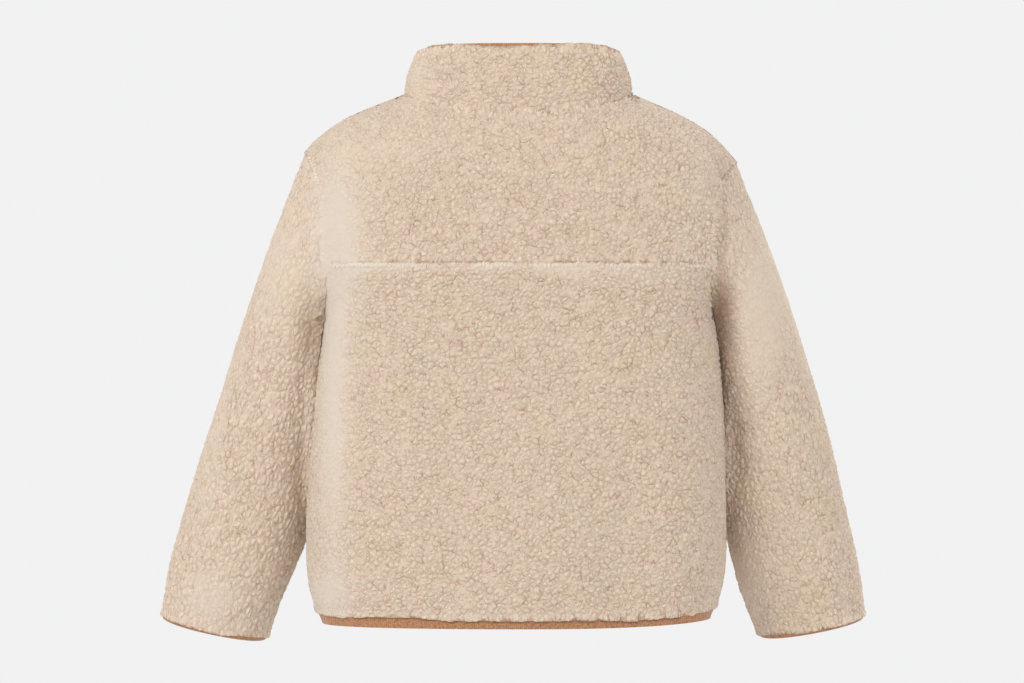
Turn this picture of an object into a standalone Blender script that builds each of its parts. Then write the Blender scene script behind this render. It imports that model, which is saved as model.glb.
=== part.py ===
"""A child's sherpa jacket with a stand collar, hollow, filled out as if worn and zipped to the top.

Metres. X runs to the wearer's right, Y to the front and Z up, from the middle of the neck's base.
The trunk, sleeves and collar share one outer surface, worked out from the tables of sizes below.
It is cut into pieces at the seams, and each piece is given its own wall.
"""

import math
from collections import namedtuple

import bmesh
import bpy
import numpy as np
from mathutils import Matrix, Vector

# Cloth
FLEECE_WALL = 0.0055
BINDING_INSET = 0.0010
BINDING_WALL = 0.0032
SEAM_GAP = 0.0004
HEM_BAND = 0.0088
CUFF_BAND = 0.0045
COLLAR_BAND = 0.0035
CUFF_DRAW_IN = 0.0015
COLLAR_DRAW_IN = 0.0010

# Trunk: half widths to the wearer's left and right, and how far the back and the front stand out
ROUNDNESS = 2.4
HEM_Z = -0.4120
HEM_LIFT = {-1: 0.0000, 1: 0.0038}
UNDERARM_Z = -0.1720
YOKE_SEAM_Z = -0.1330
Level = namedtuple("Level", "z left right back front")
LEVELS = (
    Level(-0.4250, 0.1570, 0.1535, 0.0715, 0.0760),
    Level(-0.4160, 0.1600, 0.1565, 0.0730, 0.0775),
    Level(-0.4070, 0.1645, 0.1610, 0.0755, 0.0800),
    Level(-0.3940, 0.1680, 0.1645, 0.0775, 0.0820),
    Level(-0.3620, 0.1705, 0.1668, 0.0790, 0.0830),
    Level(-0.3220, 0.1698, 0.1664, 0.0780, 0.0830),
    Level(-0.2820, 0.1668, 0.1658, 0.0765, 0.0825),
    Level(-0.2420, 0.1642, 0.1640, 0.0755, 0.0820),
    Level(-0.2020, 0.1612, 0.1618, 0.0750, 0.0805),
    Level(-0.1720, 0.1590, 0.1592, 0.0745, 0.0790),
    Level(-0.1330, 0.1585, 0.1588, 0.0740, 0.0770),
    Level(-0.0800, 0.1585, 0.1588, 0.0715, 0.0720),
    Level(0.0100, 0.1585, 0.1588, 0.0640, 0.0640),
)

# Shoulders and armholes
NECK_SIDE_RISE = 0.0018
SHOULDER_DROP_POWER = 5
BACK_REACH = 0.052
FRONT_REACH = 0.078
SHOULDER_REACH = 0.066
BACK_ROUND = 0.45
FRONT_ROUND = 0.30
ARMHOLE_DEPTH = 0.044
ARMHOLE_SET_IN = 0.0042
Shoulder = namedtuple("Shoulder", "x z slope")
SHOULDERS = {-1: Shoulder(0.1718, -0.0440, 0.385), 1: Shoulder(0.1750, -0.0515, 0.425)}

# Neck and collar
NECK_WIDTH = 0.0935
NECK_BACK = 0.0500
NECK_FRONT = 0.0560
NECK_ROUNDNESS = 2.2
NECK_BACK_DROP = 0.0175
NECK_FRONT_DROP = 0.0450
COLLAR_WIDTH = 0.0864
COLLAR_CORNER = 11
COLLAR_BACK = 0.0440
COLLAR_FRONT = 0.0490
COLLAR_BACK_TOP = 0.0375
COLLAR_SIDE_TOP = 0.0290
COLLAR_FRONT_TOP = 0.0100
COLLAR_BULGE = 0.0022
COLLAR_NARROWS_OVER = 0.03

# Sleeves: the upper, outer line and the lower, inner line of each, seen from behind
Station = namedtuple("Station", "outer_x outer_z inner_x inner_z forward depth")
SLEEVES = {
    -1: (
        Station(0.1718, -0.0440, 0.1590, -0.1720, 0.000, 0.0440),
        Station(0.1975, -0.1090, 0.1560, -0.1890, 0.010, 0.0480),
        Station(0.2190, -0.1680, 0.1530, -0.2130, 0.021, 0.0500),
        Station(0.2375, -0.2240, 0.1550, -0.2480, 0.031, 0.0500),
        Station(0.2540, -0.2730, 0.1605, -0.2990, 0.038, 0.0480),
        Station(0.2705, -0.3260, 0.1690, -0.3530, 0.043, 0.0440),
        Station(0.2840, -0.3720, 0.1885, -0.3990, 0.047, 0.0400),
        Station(0.2915, -0.4150, 0.2015, -0.4345, 0.051, 0.0350),
    ),
    1: (
        Station(0.1750, -0.0515, 0.1592, -0.1720, 0.000, 0.0440),
        Station(0.1985, -0.1100, 0.1565, -0.1890, 0.010, 0.0480),
        Station(0.2185, -0.1630, 0.1535, -0.2130, 0.021, 0.0500),
        Station(0.2370, -0.2180, 0.1555, -0.2480, 0.031, 0.0500),
        Station(0.2520, -0.2680, 0.1600, -0.2960, 0.038, 0.0480),
        Station(0.2655, -0.3240, 0.1665, -0.3500, 0.043, 0.0440),
        Station(0.2775, -0.3740, 0.1780, -0.3960, 0.047, 0.0400),
        Station(0.2830, -0.4150, 0.1925, -0.4325, 0.051, 0.0350),
    ),
}
SLEEVE_ROUNDNESS = 2.15
SLEEVE_LEAN = 0.11
SLEEVE_EVEN_BY = 0.30
ARMHOLE_SHAPE_UNTIL = 0.28
ARM_CLEARANCE = 0.0016
ARM_CLEARANCE_EASE = 0.03

# Zip: heights above and below the fleece's outer face count along the way out of the front
ZIP_HALF_OPENING = 0.0055
TAPE_HALF_WIDTH = 0.0155
TAPE_WALL = 0.0010
TAPE_GAP = 0.0003
TAPE_PARTING = 0.0014
SLIDER_BELOW_TOP = 0.0090
SLIDER_WIDTH = 0.0086
SLIDER_LENGTH = 0.0110
SLIDER_TOP = -0.0023
SLIDER_PLATE = 0.0014
SLIDER_WING = 0.0014
SLIDER_WING_IN = 0.0001
SLIDER_FOOT = -0.0055
SLIDER_BACK = -0.0071
SLIDER_BACK_PLATE = 0.0012
SLIDER_POST = 0.0010
SLIDER_POST_LENGTH = 0.0032
CROWN_LENGTH = 0.0080
CROWN_WIDTH = 0.0014
CROWN_BAND = 0.0011
CROWN_ROOM = 0.0022
CROWN_CORNER = 0.0010
PULL_BAR = 0.0014
PULL_WINDOW = 0.0034
PULL_WINDOW_LENGTH = 0.0052
PULL_WIDTH = 0.0066
PULL_HEAD_WIDTH = 0.0056
PULL_CORNER = 0.0004
PULL_LENGTH = 0.0270
PULL_LEAN = 5
STOP_SIZE = (0.0018, 0.0016, 0.0024)
STOP_BELOW_TOP = 0.0019
BOX_SIZE = (0.0084, 0.0022, 0.0070)
BOX_ABOVE_FOOT = 0.0050

# How finely the cloth is divided
BAND_ROWS = 2
SIDE_ROWS = 13
ARMHOLE_LOW_ROWS = 3
YOKE_ROWS = 7
NECK_COLUMNS = 6
SHOULDER_COLUMNS = 5
COLLAR_ROWS = 5
SLEEVE_RINGS = 18

# Folds of the trunk: soft troughs, deeper than 0, and ridges, in the back (-1) or the front (1)
Fold = namedtuple("Fold", "face x z lean width length deep")
FOLDS = (
    Fold(-1, -0.072, -0.350, 0.06, 0.026, 0.070, 0.0034),
    Fold(-1, 0.004, -0.345, 0.00, 0.034, 0.080, -0.0026),
    Fold(-1, 0.078, -0.365, -0.10, 0.022, 0.060, 0.0022),
    Fold(-1, -0.118, -0.215, 0.55, 0.014, 0.045, 0.0016),
    Fold(-1, 0.120, -0.225, -0.60, 0.014, 0.050, 0.0018),
    Fold(1, 0.080, -0.340, 0.08, 0.026, 0.075, 0.0032),
    Fold(1, -0.060, -0.355, -0.05, 0.022, 0.060, 0.0026),
    Fold(1, -0.115, -0.210, 0.60, 0.015, 0.050, 0.0020),
    Fold(1, 0.112, -0.205, -0.55, 0.015, 0.050, 0.0020),
)

# Folds of the sleeves: along is from 0 at the armhole to 1 at the cuff, and the turn is
# 0 at the outer line, 90 at the back, 180 at the inner line and 270 at the front
CALM_AT_ARMHOLE = 0.12
CALM_AT_CUFF = 0.08
Crease = namedtuple("Crease", "side along turn width spread slant deep")
CREASES = (
    Crease(-1, 0.20, 125, 0.030, 42, 0.05, 0.0030),
    Crease(-1, 0.34, 110, 0.034, 50, 0.07, 0.0026),
    Crease(-1, 0.55, 150, 0.036, 60, -0.05, 0.0028),
    Crease(-1, 0.44, 290, 0.032, 60, 0.06, 0.0030),
    Crease(-1, 0.82, 70, 0.040, 50, 0.04, 0.0020),
    Crease(1, 0.18, 130, 0.030, 46, -0.05, 0.0032),
    Crease(1, 0.30, 90, 0.040, 55, -0.08, 0.0024),
    Crease(1, 0.50, 140, 0.036, 60, 0.05, 0.0030),
    Crease(1, 0.46, 280, 0.032, 60, -0.06, 0.0028),
    Crease(1, 0.78, 60, 0.042, 50, -0.05, 0.0022),
)


Cloth = namedtuple("Cloth", "grid closed part_of")


def smooth_through(table_x, table_y, x):
    """Values at x of a smooth curve through a table's rows, whose x rises."""
    table_x = np.asarray(table_x, float)
    table_y = np.asarray(table_y, float)
    slopes = np.gradient(table_y, table_x)
    x = np.clip(x, table_x[0], table_x[-1])
    row = np.clip(np.searchsorted(table_x, x) - 1, 0, len(table_x) - 2)
    span = table_x[row + 1] - table_x[row]
    t = (x - table_x[row]) / span
    rise = table_y[row + 1] - table_y[row]
    start, end = slopes[row] * span, slopes[row + 1] * span
    return table_y[row] + t * (start + t * (3 * rise - 2 * start - end + t * (start + end - 2 * rise)))


def level_value(name, z):
    return smooth_through([row.z for row in LEVELS], [getattr(row, name) for row in LEVELS], z)


def mix(start, end, share):
    return start + (end - start) * share


def even_columns(count):
    """Shares of a half width that divide half of a trunk section into even lengths."""
    turn = np.linspace(0, math.pi / 2, 600)
    width, depth = LEVELS[0].left, LEVELS[0].front
    x = np.sin(turn) ** (2 / ROUNDNESS)
    y = np.cos(turn) ** (2 / ROUNDNESS)
    steps = np.hypot(np.diff(x) * width, np.diff(y) * depth)
    length = np.concatenate([[0], np.cumsum(steps)])
    return np.interp(np.linspace(0, length[-1], count + 1), length, x)


def section_depth(share, depth, roundness=ROUNDNESS):
    return depth * np.maximum(0, 1 - np.abs(share) ** roundness) ** (1 / roundness)


def shoulder_z(x, side):
    tip = SHOULDERS[side]
    out = (np.abs(x) - NECK_WIDTH) / (tip.x - NECK_WIDTH)
    slope_fall = tip.slope * (tip.x - NECK_WIDTH)
    drop = NECK_SIDE_RISE - slope_fall - tip.z
    return NECK_SIDE_RISE - slope_fall * out - drop * out**SHOULDER_DROP_POWER


def armhole(side):
    """Points of one armhole's edge from the underarm up to the shoulder tip, without their sign of Y."""
    tip = SHOULDERS[side]
    under = level_value("left" if side < 0 else "right", UNDERARM_Z)
    middle = (tip.z + UNDERARM_Z) / 2
    half = (tip.z - UNDERARM_Z) / 2
    seam_turn = math.acos((YOKE_SEAM_Z - middle) / half)
    low = np.linspace(math.pi, seam_turn, ARMHOLE_LOW_ROWS + 1)
    high = np.linspace(seam_turn, 0, YOKE_ROWS + 1)[1:]
    turn = np.concatenate([low, high])
    reach = np.maximum(0, np.cos(1.36 * turn)) * (turn < math.pi / 2)
    x = under + (tip.x - under) * reach**1.3
    x -= ARMHOLE_SET_IN * np.sin(turn) ** 2
    return turn, x, ARMHOLE_DEPTH * np.sin(turn), middle + half * np.cos(turn)


def neck_line(x, face):
    """Y and Z of the neck seam at X, in the back (-1) or the front (1)."""
    depth = section_depth(x / NECK_WIDTH, 1, NECK_ROUNDNESS)
    if face < 0:
        return -NECK_BACK * depth, NECK_SIDE_RISE - NECK_BACK_DROP * depth**2
    return NECK_FRONT * depth, NECK_SIDE_RISE - NECK_FRONT_DROP * depth**1.5


def spread_neck(first, count):
    """X of the neck seam's points at even steps along it, from first to the side of the neck."""
    turn = np.linspace(0, math.pi / 2, 400)
    x = NECK_WIDTH * np.sin(turn) ** (2 / NECK_ROUNDNESS)
    y = NECK_BACK * np.cos(turn) ** (2 / NECK_ROUNDNESS)
    length = np.concatenate([[0], np.cumsum(np.hypot(np.diff(x), np.diff(y)))])
    start = np.interp(first, x, length)
    return np.interp(np.linspace(start, length[-1], count + 1), length, x)


def fold_depth(face, x, z):
    depth = np.zeros(np.shape(x))
    for fold in FOLDS:
        if fold.face != face:
            continue
        along = z - fold.z
        across = x - fold.x - fold.lean * along
        depth = depth + fold.deep * np.exp(-((across / fold.width) ** 2) - (along / fold.length) ** 2)
    return depth


def half_panel(face, side):
    """Outer points of one half of the back or the front.

    The rows run from the foot of the hem's band up to the neck, and the columns from the middle out.
    """
    turn, edge_x, edge_y, edge_z = armhole(side)
    count = NECK_COLUMNS + SHOULDER_COLUMNS
    tip = SHOULDERS[side]
    if face < 0:
        low_share = even_columns(count)
        neck_x = spread_neck(0, NECK_COLUMNS)
    else:
        full = even_columns(count)
        low_share = np.concatenate([[0, 0], full[2:]])
        neck_x = np.concatenate([[ZIP_HALF_OPENING], spread_neck(TAPE_HALF_WIDTH, NECK_COLUMNS - 1)])
    shoulder_x = np.linspace(NECK_WIDTH, tip.x, SHOULDER_COLUMNS + 1)[1:]
    top_x = np.concatenate([neck_x, shoulder_x])
    neck_y, neck_z = neck_line(neck_x, face)
    top_y = np.concatenate([neck_y, np.zeros(SHOULDER_COLUMNS)])
    top_z = np.concatenate([neck_z, shoulder_z(shoulder_x, side)])
    out = np.arange(count + 1) / count
    at_shoulder = np.clip((np.arange(count + 1) - 1) / (NECK_COLUMNS - 1), 0, 1)
    width_name = "left" if side < 0 else "right"
    depth_name = "back" if face < 0 else "front"
    rows = []
    band = HEM_Z - HEM_BAND * np.linspace(1, 0, BAND_ROWS + 1)[:-1]
    for z in np.concatenate([band, np.linspace(HEM_Z, UNDERARM_Z, SIDE_ROWS + 1)[:-1]]):
        x = level_value(width_name, z) * low_share
        y = face * section_depth(low_share, level_value(depth_name, z))
        lift = HEM_LIFT[side] * (UNDERARM_Z - z) / (UNDERARM_Z - HEM_Z)
        rows.append((x, y, z + lift * low_share**3))
    first_upper = ARMHOLE_LOW_ROWS if face < 0 else 0
    first_z = YOKE_SEAM_Z if face < 0 else UNDERARM_Z
    for row in range(ARMHOLE_LOW_ROWS + YOKE_ROWS + 1):
        if row < first_upper:
            middle_z = mix(UNDERARM_Z, YOKE_SEAM_Z, row / first_upper)
            z = mix(middle_z, edge_z[row], out**3)
            share = low_share
            rise = 0
        else:
            rise = (row - first_upper) / (ARMHOLE_LOW_ROWS + YOKE_ROWS - first_upper)
            edge_rise = (edge_z[row] - first_z) / (tip.z - first_z)
            z = mix(first_z, top_z, mix(rise, edge_rise, 0.4 + 0.6 * out))
            share = mix(low_share, top_x / tip.x, rise**1.4)
        x = edge_x[row] * share
        depth = level_value(depth_name, z)
        full_edge = edge_y[row] if turn[row] > math.pi / 2 else ARMHOLE_DEPTH
        edge_share = (1 - (full_edge / depth) ** ROUNDNESS) ** (1 / ROUNDNESS)
        full = section_depth(edge_share * share, depth)
        reach = mix(BACK_REACH if face < 0 else FRONT_REACH, SHOULDER_REACH, at_shoulder)
        fall = np.clip((top_z - z) / reach, 0, 1)
        quarter = np.sqrt(1 - (1 - fall) ** 2)
        ease = fall * fall * (3 - 2 * fall)
        rounding = mix(ease, quarter, mix(BACK_ROUND if face < 0 else FRONT_ROUND, 1, at_shoulder))
        top_depth = np.abs(top_y)
        y = mix(top_depth, full, rounding)
        y = y + (edge_y[row] - y[-1]) * out**6
        rows.append((x, face * y, z))
    grid = np.array([np.stack(row, axis=-1) for row in rows])
    if face > 0:
        grid[:, 0, 0] = ZIP_HALF_OPENING
        grid[:, 1, 0] = TAPE_HALF_WIDTH
        flat = grid[:, 1, 1].copy()
        grid[:-1, 0, 1] = flat[:-1]
    grid[..., 0] *= side
    calm = 1 - out**4
    calm = calm * (1 if face < 0 else np.clip((np.arange(count + 1) - 1) / 3, 0, 1))
    grid[..., 1] -= face * fold_depth(face, grid[..., 0], grid[..., 2]) * calm
    return grid


def collar_grid(left_front, back, right_front):
    """Outer points of the collar, rows up from the neck seam, columns round from the zip's left edge."""
    neck = np.concatenate([left_front[-1, : NECK_COLUMNS + 1], back, right_front[-1, NECK_COLUMNS::-1]])
    keep = np.ones(len(neck), bool)
    keep[[NECK_COLUMNS + 1, 3 * NECK_COLUMNS + 1]] = False
    neck = neck[keep]
    past_tape = np.clip((np.abs(neck[:, 0]) - TAPE_HALF_WIDTH) / COLLAR_NARROWS_OVER, 0, 1)
    narrow = mix(1, COLLAR_WIDTH / NECK_WIDTH, past_tape)
    narrow[neck[:, 1] < 0] = COLLAR_WIDTH / NECK_WIDTH
    top_x = neck[:, 0] * narrow
    in_front = neck[:, 1] > 0
    round_depth = section_depth(np.clip(top_x / COLLAR_WIDTH, -1, 1), 1, NECK_ROUNDNESS)
    top_y = np.where(in_front, COLLAR_FRONT, -COLLAR_BACK) * round_depth
    out = np.abs(top_x) / COLLAR_WIDTH
    back_z = mix(COLLAR_BACK_TOP, COLLAR_SIDE_TOP, out**COLLAR_CORNER)
    front_z = mix(COLLAR_SIDE_TOP, COLLAR_FRONT_TOP, round_depth**1.2)
    top_z = np.where(in_front, front_z, back_z)
    top = np.stack([top_x, top_y, top_z], axis=-1)
    outward = top * [1, 1, 0]
    outward /= np.linalg.norm(outward, axis=1, keepdims=True)
    rows = []
    for share in np.linspace(0, 1, COLLAR_ROWS + 1):
        swell = COLLAR_BULGE * math.sin(math.pi * share)
        rows.append(mix(neck, top, share) + outward * swell)
    grid = np.array(rows)
    for column, x in ((0, ZIP_HALF_OPENING), (1, TAPE_HALF_WIDTH)):
        grid[:, column, 0] = -x
        grid[:, -1 - column, 0] = x
    return grid


def trunk_half_width(side, y, z):
    """How far out the trunk reaches at a depth Y and a height Z below the underarm."""
    width = level_value("left" if side < 0 else "right", z)
    depth = np.where(y < 0, level_value("back", z), level_value("front", z))
    return width * np.maximum(0, 1 - np.abs(y / depth) ** ROUNDNESS) ** (1 / ROUNDNESS)


def rounded_turns(turns):
    """Shares of a sleeve ring's half height and half depth at each turn round it."""
    cos, sin = np.cos(turns), np.sin(turns)
    power = 2 / SLEEVE_ROUNDNESS
    return np.sign(cos) * np.abs(cos) ** power, -np.sign(sin) * np.abs(sin) ** power


def sleeve_grid(side):
    """Outer points of a sleeve, rings from the armhole to the cuff, columns round from the underarm."""
    table = SLEEVES[side]
    rows_at = np.linspace(0, 1, len(table))
    turn, edge_x, edge_y, edge_z = armhole(side)
    turns = np.concatenate([turn, 2 * math.pi - turn[-2:0:-1]])
    loop = np.stack([edge_x, -edge_y, edge_z], axis=-1)
    loop = np.concatenate([loop, loop[-2:0:-1] * [1, -1, 1]])
    across, around = rounded_turns(turns)
    flat_share = np.linspace(0, 1, len(turn)) * math.pi
    even_turns = math.pi - np.concatenate([flat_share, 2 * math.pi - flat_share[-2:0:-1]])
    even_across, even_around = rounded_turns(even_turns)
    rings = []
    for at in np.linspace(0, 1, SLEEVE_RINGS + 1) ** 0.92:
        outer_x, outer_z, inner_x, inner_z, forward, depth = [
            smooth_through(rows_at, [getattr(row, name) for row in table], at)
            for name in Station._fields
        ]
        even = min(1, at / SLEEVE_EVEN_BY)
        even = even * even * (3 - 2 * even)
        lean = SLEEVE_LEAN * even
        cos_turn = mix(across, even_across, even)
        sin_turn = mix(around, even_around, even)
        ring = np.stack(
            [
                (outer_x + inner_x) / 2 + cos_turn * (outer_x - inner_x) / 2,
                forward + sin_turn * depth,
                (outer_z + inner_z) / 2 + cos_turn * (outer_z - inner_z) / 2 + lean * sin_turn * depth,
            ],
            axis=-1,
        )
        if at == 0:
            offset = loop - ring
        leave = min(1, at / ARMHOLE_SHAPE_UNTIL)
        ring = ring + offset * (1 - leave * leave * (3 - 2 * leave))
        ring = ring - crease_steps(side, at, np.degrees(even_turns), ring)
        below = np.clip((UNDERARM_Z + ARM_CLEARANCE_EASE - ring[:, 2]) / ARM_CLEARANCE_EASE, 0, 1)
        least = trunk_half_width(side, ring[:, 1], ring[:, 2]) + ARM_CLEARANCE
        pushed = np.maximum(ring[:, 0], least)
        ring[:, 0] = mix(ring[:, 0], pushed, below) if at > 0 else ring[:, 0]
        rings.append(ring * [side, 1, 1])
    return np.array(rings)


def crease_steps(side, at, turns, ring):
    """How far the sleeve's creases move one ring's points in towards its middle."""
    depth = np.zeros(len(turns))
    for crease in CREASES:
        if crease.side != side:
            continue
        away = (turns - crease.turn + 180) % 360 - 180
        across = at - crease.along - crease.slant * away / 90
        depth += crease.deep * np.exp(-((across / crease.width) ** 2) - (away / crease.spread) ** 2)
    calm = min(1, at / CALM_AT_ARMHOLE) * min(1, (1 - at) / CALM_AT_CUFF)
    middle = ring.mean(axis=0)
    inward = ring - middle
    inward /= np.linalg.norm(inward, axis=1, keepdims=True)
    return inward * (depth * calm)[:, None]


def band_past(edge, before, length, squeeze):
    """Rows that carry a piece on past its last one, along its own run, and draw it in by squeeze."""
    run = edge - before
    run /= np.linalg.norm(run, axis=1, keepdims=True)
    inward = edge.mean(axis=0) - edge
    inward -= run * np.sum(inward * run, axis=1, keepdims=True)
    inward /= np.linalg.norm(inward, axis=1, keepdims=True)
    shares = np.linspace(0, 1, BAND_ROWS + 1)
    return np.array([edge + run * length * share + inward * squeeze * share**2 for share in shares])


def face_normals(grid, closed):
    """Area-weighted normals of a grid's cells, each added to the cell's four corners."""
    rows, columns = grid.shape[:2]
    total = np.zeros(grid.shape)
    following = [(column + 1) % columns for column in range(columns if closed else columns - 1)]
    for column, after in enumerate(following):
        diagonal = grid[1:, after] - grid[:-1, column]
        other = grid[1:, column] - grid[:-1, after]
        normal = np.cross(diagonal, other)
        for rows_of in (slice(0, rows - 1), slice(1, rows)):
            total[rows_of, column] += normal
            total[rows_of, after] += normal
    return total


def shared_normals(pieces):
    """Unit normals of every grid, the same on both sides of each seam, halfway between what meets there."""
    points = np.concatenate([piece.grid.reshape(-1, 3) for piece in pieces.values()])
    _, place = np.unique(np.round(points, 6) + 0.0, axis=0, return_inverse=True)
    place = place.reshape(-1)
    merged = np.zeros((place.max() + 1, 3))
    for part_of in sorted({piece.part_of for piece in pieces.values()}):
        sums = [
            face_normals(piece.grid, piece.closed) * (piece.part_of == part_of)
            for piece in pieces.values()
        ]
        own = np.zeros(merged.shape)
        np.add.at(own, place, np.concatenate([one.reshape(-1, 3) for one in sums]))
        merged += own / np.maximum(np.linalg.norm(own, axis=1, keepdims=True), 1e-12)
    merged /= np.linalg.norm(merged, axis=1, keepdims=True)
    found, start = {}, 0
    for name, piece in pieces.items():
        count = piece.grid.shape[0] * piece.grid.shape[1]
        found[name] = merged[place[start : start + count]].reshape(piece.grid.shape)
        start += count
    return found


def clear_of_seams(piece):
    """A piece's grid with its outer rows, and columns where it is open, moved in by half a seam's gap."""
    grid = piece.grid
    moved = grid.copy()
    pairs = [(np.s_[0], np.s_[1]), (np.s_[-1], np.s_[-2])]
    if not piece.closed:
        pairs += [(np.s_[:, 0], np.s_[:, 1]), (np.s_[:, -1], np.s_[:, -2])]
    for edge, inside in pairs:
        step = grid[inside] - grid[edge]
        moved[edge] += step / np.linalg.norm(step, axis=-1, keepdims=True) * SEAM_GAP / 2
    return moved


def wall(name, piece, outer, inner, material):
    """One closed solid between two skins. The grid orders each edge's corners as its neighbour does."""
    grid, closed = piece.grid, piece.closed
    rows, columns = outer.shape[:2]
    shell = bmesh.new()
    front, back = [
        [[shell.verts.new(point) for point in row] for row in skin]
        for skin in (outer, inner)
    ]
    spans = [(column, (column + 1) % columns) for column in range(columns if closed else columns - 1)]
    for row in range(rows - 1):
        for left, right in spans:
            low, high = front[row], front[row + 1]
            shell.faces.new((low[left], low[right], high[right], high[left]))
            low, high = back[row], back[row + 1]
            shell.faces.new((low[left], high[left], high[right], low[right]))
    rim = [((end, left), (end, right)) for end in (0, rows - 1) for left, right in spans]
    if not closed:
        rim += [((row, end), (row + 1, end)) for end in (0, columns - 1) for row in range(rows - 1)]
    for first, second in rim:
        if tuple(np.round(grid[first], 6)) > tuple(np.round(grid[second], 6)):
            first, second = second, first
        outer_first, outer_second = front[first[0]][first[1]], front[second[0]][second[1]]
        inner_first, inner_second = back[first[0]][first[1]], back[second[0]][second[1]]
        shell.faces.new((outer_first, outer_second, inner_second))
        shell.faces.new((outer_first, inner_second, inner_first))
    bmesh.ops.recalc_face_normals(shell, faces=shell.faces)
    mesh = bpy.data.meshes.new(name)
    shell.to_mesh(mesh)
    shell.free()
    mesh.shade_smooth()
    mesh.set_sharp_from_angle(angle=math.radians(40))
    mesh.materials.append(material)
    return link(bpy.data.objects.new(name, mesh))


def zip_edges(pieces, normals):
    """The two columns beside the zip on each side, hem to collar, and the cloth's normals there."""
    found = {}
    for side, front, columns in ((-1, "front_left", [0, 1]), (1, "front_right", [-1, -2])):
        run = (("hem_binding", 0), (front, 1), ("collar", 1))
        points = np.concatenate([pieces[name].grid[first:, columns] for name, first in run])
        ways = np.concatenate([normals[name][first:, columns] for name, first in run])
        found[side] = points, ways
    return found


def zip_frame(edges, distance, from_top):
    """A frame on the zip's middle line: X across, Y out of the front and Z up along the zip."""
    line = edges[1][0][:, 0] * [0, 1, 1]
    lengths = np.concatenate([[0], np.cumsum(np.linalg.norm(np.diff(line, axis=0), axis=1))])
    at = lengths[-1] - distance if from_top else distance
    row = int(np.clip(np.searchsorted(lengths, at) - 1, 0, len(line) - 2))
    up = Vector(line[row + 1] - line[row]).normalized()
    place = Vector(mix(line[row], line[row + 1], (at - lengths[row]) / (lengths[row + 1] - lengths[row])))
    across = Vector((1, 0, 0))
    out = up.cross(across)
    return Matrix.Translation(place) @ Matrix((across, out, up)).transposed().to_4x4()


def zip_tape(side, edges, material):
    points, ways = edges[side]
    middle = points[:, :1].copy()
    middle[:, 0, 0] = side * TAPE_GAP
    middle[-1, 0, 0] = side * TAPE_PARTING
    grid = np.concatenate([middle, points], axis=1)
    grid_ways = np.concatenate([ways[:, :1], ways], axis=1) * [0, 1, 1]
    grid_ways /= np.linalg.norm(grid_ways, axis=2, keepdims=True)
    if side > 0:
        grid, grid_ways = grid[:, ::-1], grid_ways[:, ::-1]
    outer = grid - grid_ways * (FLEECE_WALL + TAPE_GAP)
    name = "zip_tape_left" if side < 0 else "zip_tape_right"
    wall(name, Cloth(grid, False, "zip"), outer, outer - grid_ways * TAPE_WALL, material)


def box_mesh(size, centre, bevel=0.0):
    mesh = bpy.data.meshes.new("box")
    shape = bmesh.new()
    bmesh.ops.create_cube(shape, size=1, matrix=Matrix.Translation(centre) @ Matrix.Diagonal((*size, 1)))
    if bevel:
        bmesh.ops.bevel(shape, geom=shape.edges[:], offset=bevel, segments=2, profile=0.5, affect="EDGES")
    shape.to_mesh(mesh)
    shape.free()
    return mesh


def plate_mesh(outline, axis, start, end):
    """A flat outline given in the two other axes, drawn out along one axis from start to end."""
    shape = bmesh.new()
    corners = []
    for first, second in outline:
        corner = [first, second]
        corner.insert(axis, start)
        corners.append(shape.verts.new(corner))
    face = shape.faces.new(corners)
    drawn = bmesh.ops.extrude_face_region(shape, geom=[face])
    step = Vector((0, 0, 0))
    step[axis] = end - start
    moved = [part for part in drawn["geom"] if isinstance(part, bmesh.types.BMVert)]
    bmesh.ops.translate(shape, vec=step, verts=moved)
    bmesh.ops.recalc_face_normals(shape, faces=shape.faces)
    mesh = bpy.data.meshes.new("plate")
    shape.to_mesh(mesh)
    shape.free()
    return mesh


def placed(name, mesh, frame, material):
    piece = link(bpy.data.objects.new(name, mesh))
    piece.matrix_world = frame
    mesh.shade_smooth()
    mesh.set_sharp_from_angle(angle=math.radians(30))
    mesh.materials.append(material)
    return piece


def joined(piece, meshes, operation="UNION"):
    """The piece with each mesh, given in its own frame, joined to it or cut from it."""
    for number, mesh in enumerate(meshes):
        helper = bpy.data.objects.new(f"{piece.name}_{operation.lower()}_{number}", mesh)
        bpy.data.collections["helpers"].objects.link(helper)
        helper.matrix_world = piece.matrix_world
        helper.hide_render = True
        helper.display_type = "WIRE"
        boolean = piece.modifiers.new(helper.name, "BOOLEAN")
        boolean.operation = operation
        boolean.object = helper


def slider(frame, material):
    plate_y = SLIDER_TOP - SLIDER_PLATE / 2
    plate = box_mesh((SLIDER_WIDTH, SLIDER_PLATE, SLIDER_LENGTH), (0, plate_y, 0), 0.0004)
    body = placed("zip_slider", plate, frame, material)
    wing_height = SLIDER_TOP - SLIDER_PLATE / 2 - SLIDER_FOOT
    wing_x = (SLIDER_WIDTH - SLIDER_WING) / 2 - SLIDER_WING_IN
    wing_size = (SLIDER_WING, wing_height, SLIDER_LENGTH * 0.86)
    wing_y = SLIDER_FOOT + wing_height / 2
    wings = [box_mesh(wing_size, (side * wing_x, wing_y, 0)) for side in (-1, 1)]
    back_y = SLIDER_BACK - SLIDER_BACK_PLATE / 2
    back = box_mesh((SLIDER_WIDTH, SLIDER_BACK_PLATE, SLIDER_LENGTH), (0, back_y, 0), 0.0003)
    post_height = plate_y - back_y
    post_size = (SLIDER_POST, post_height, SLIDER_POST_LENGTH)
    post = box_mesh(post_size, (0, back_y + post_height / 2, SLIDER_LENGTH * 0.3))
    joined(body, [*wings, back, post, crown_mesh()])


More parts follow.
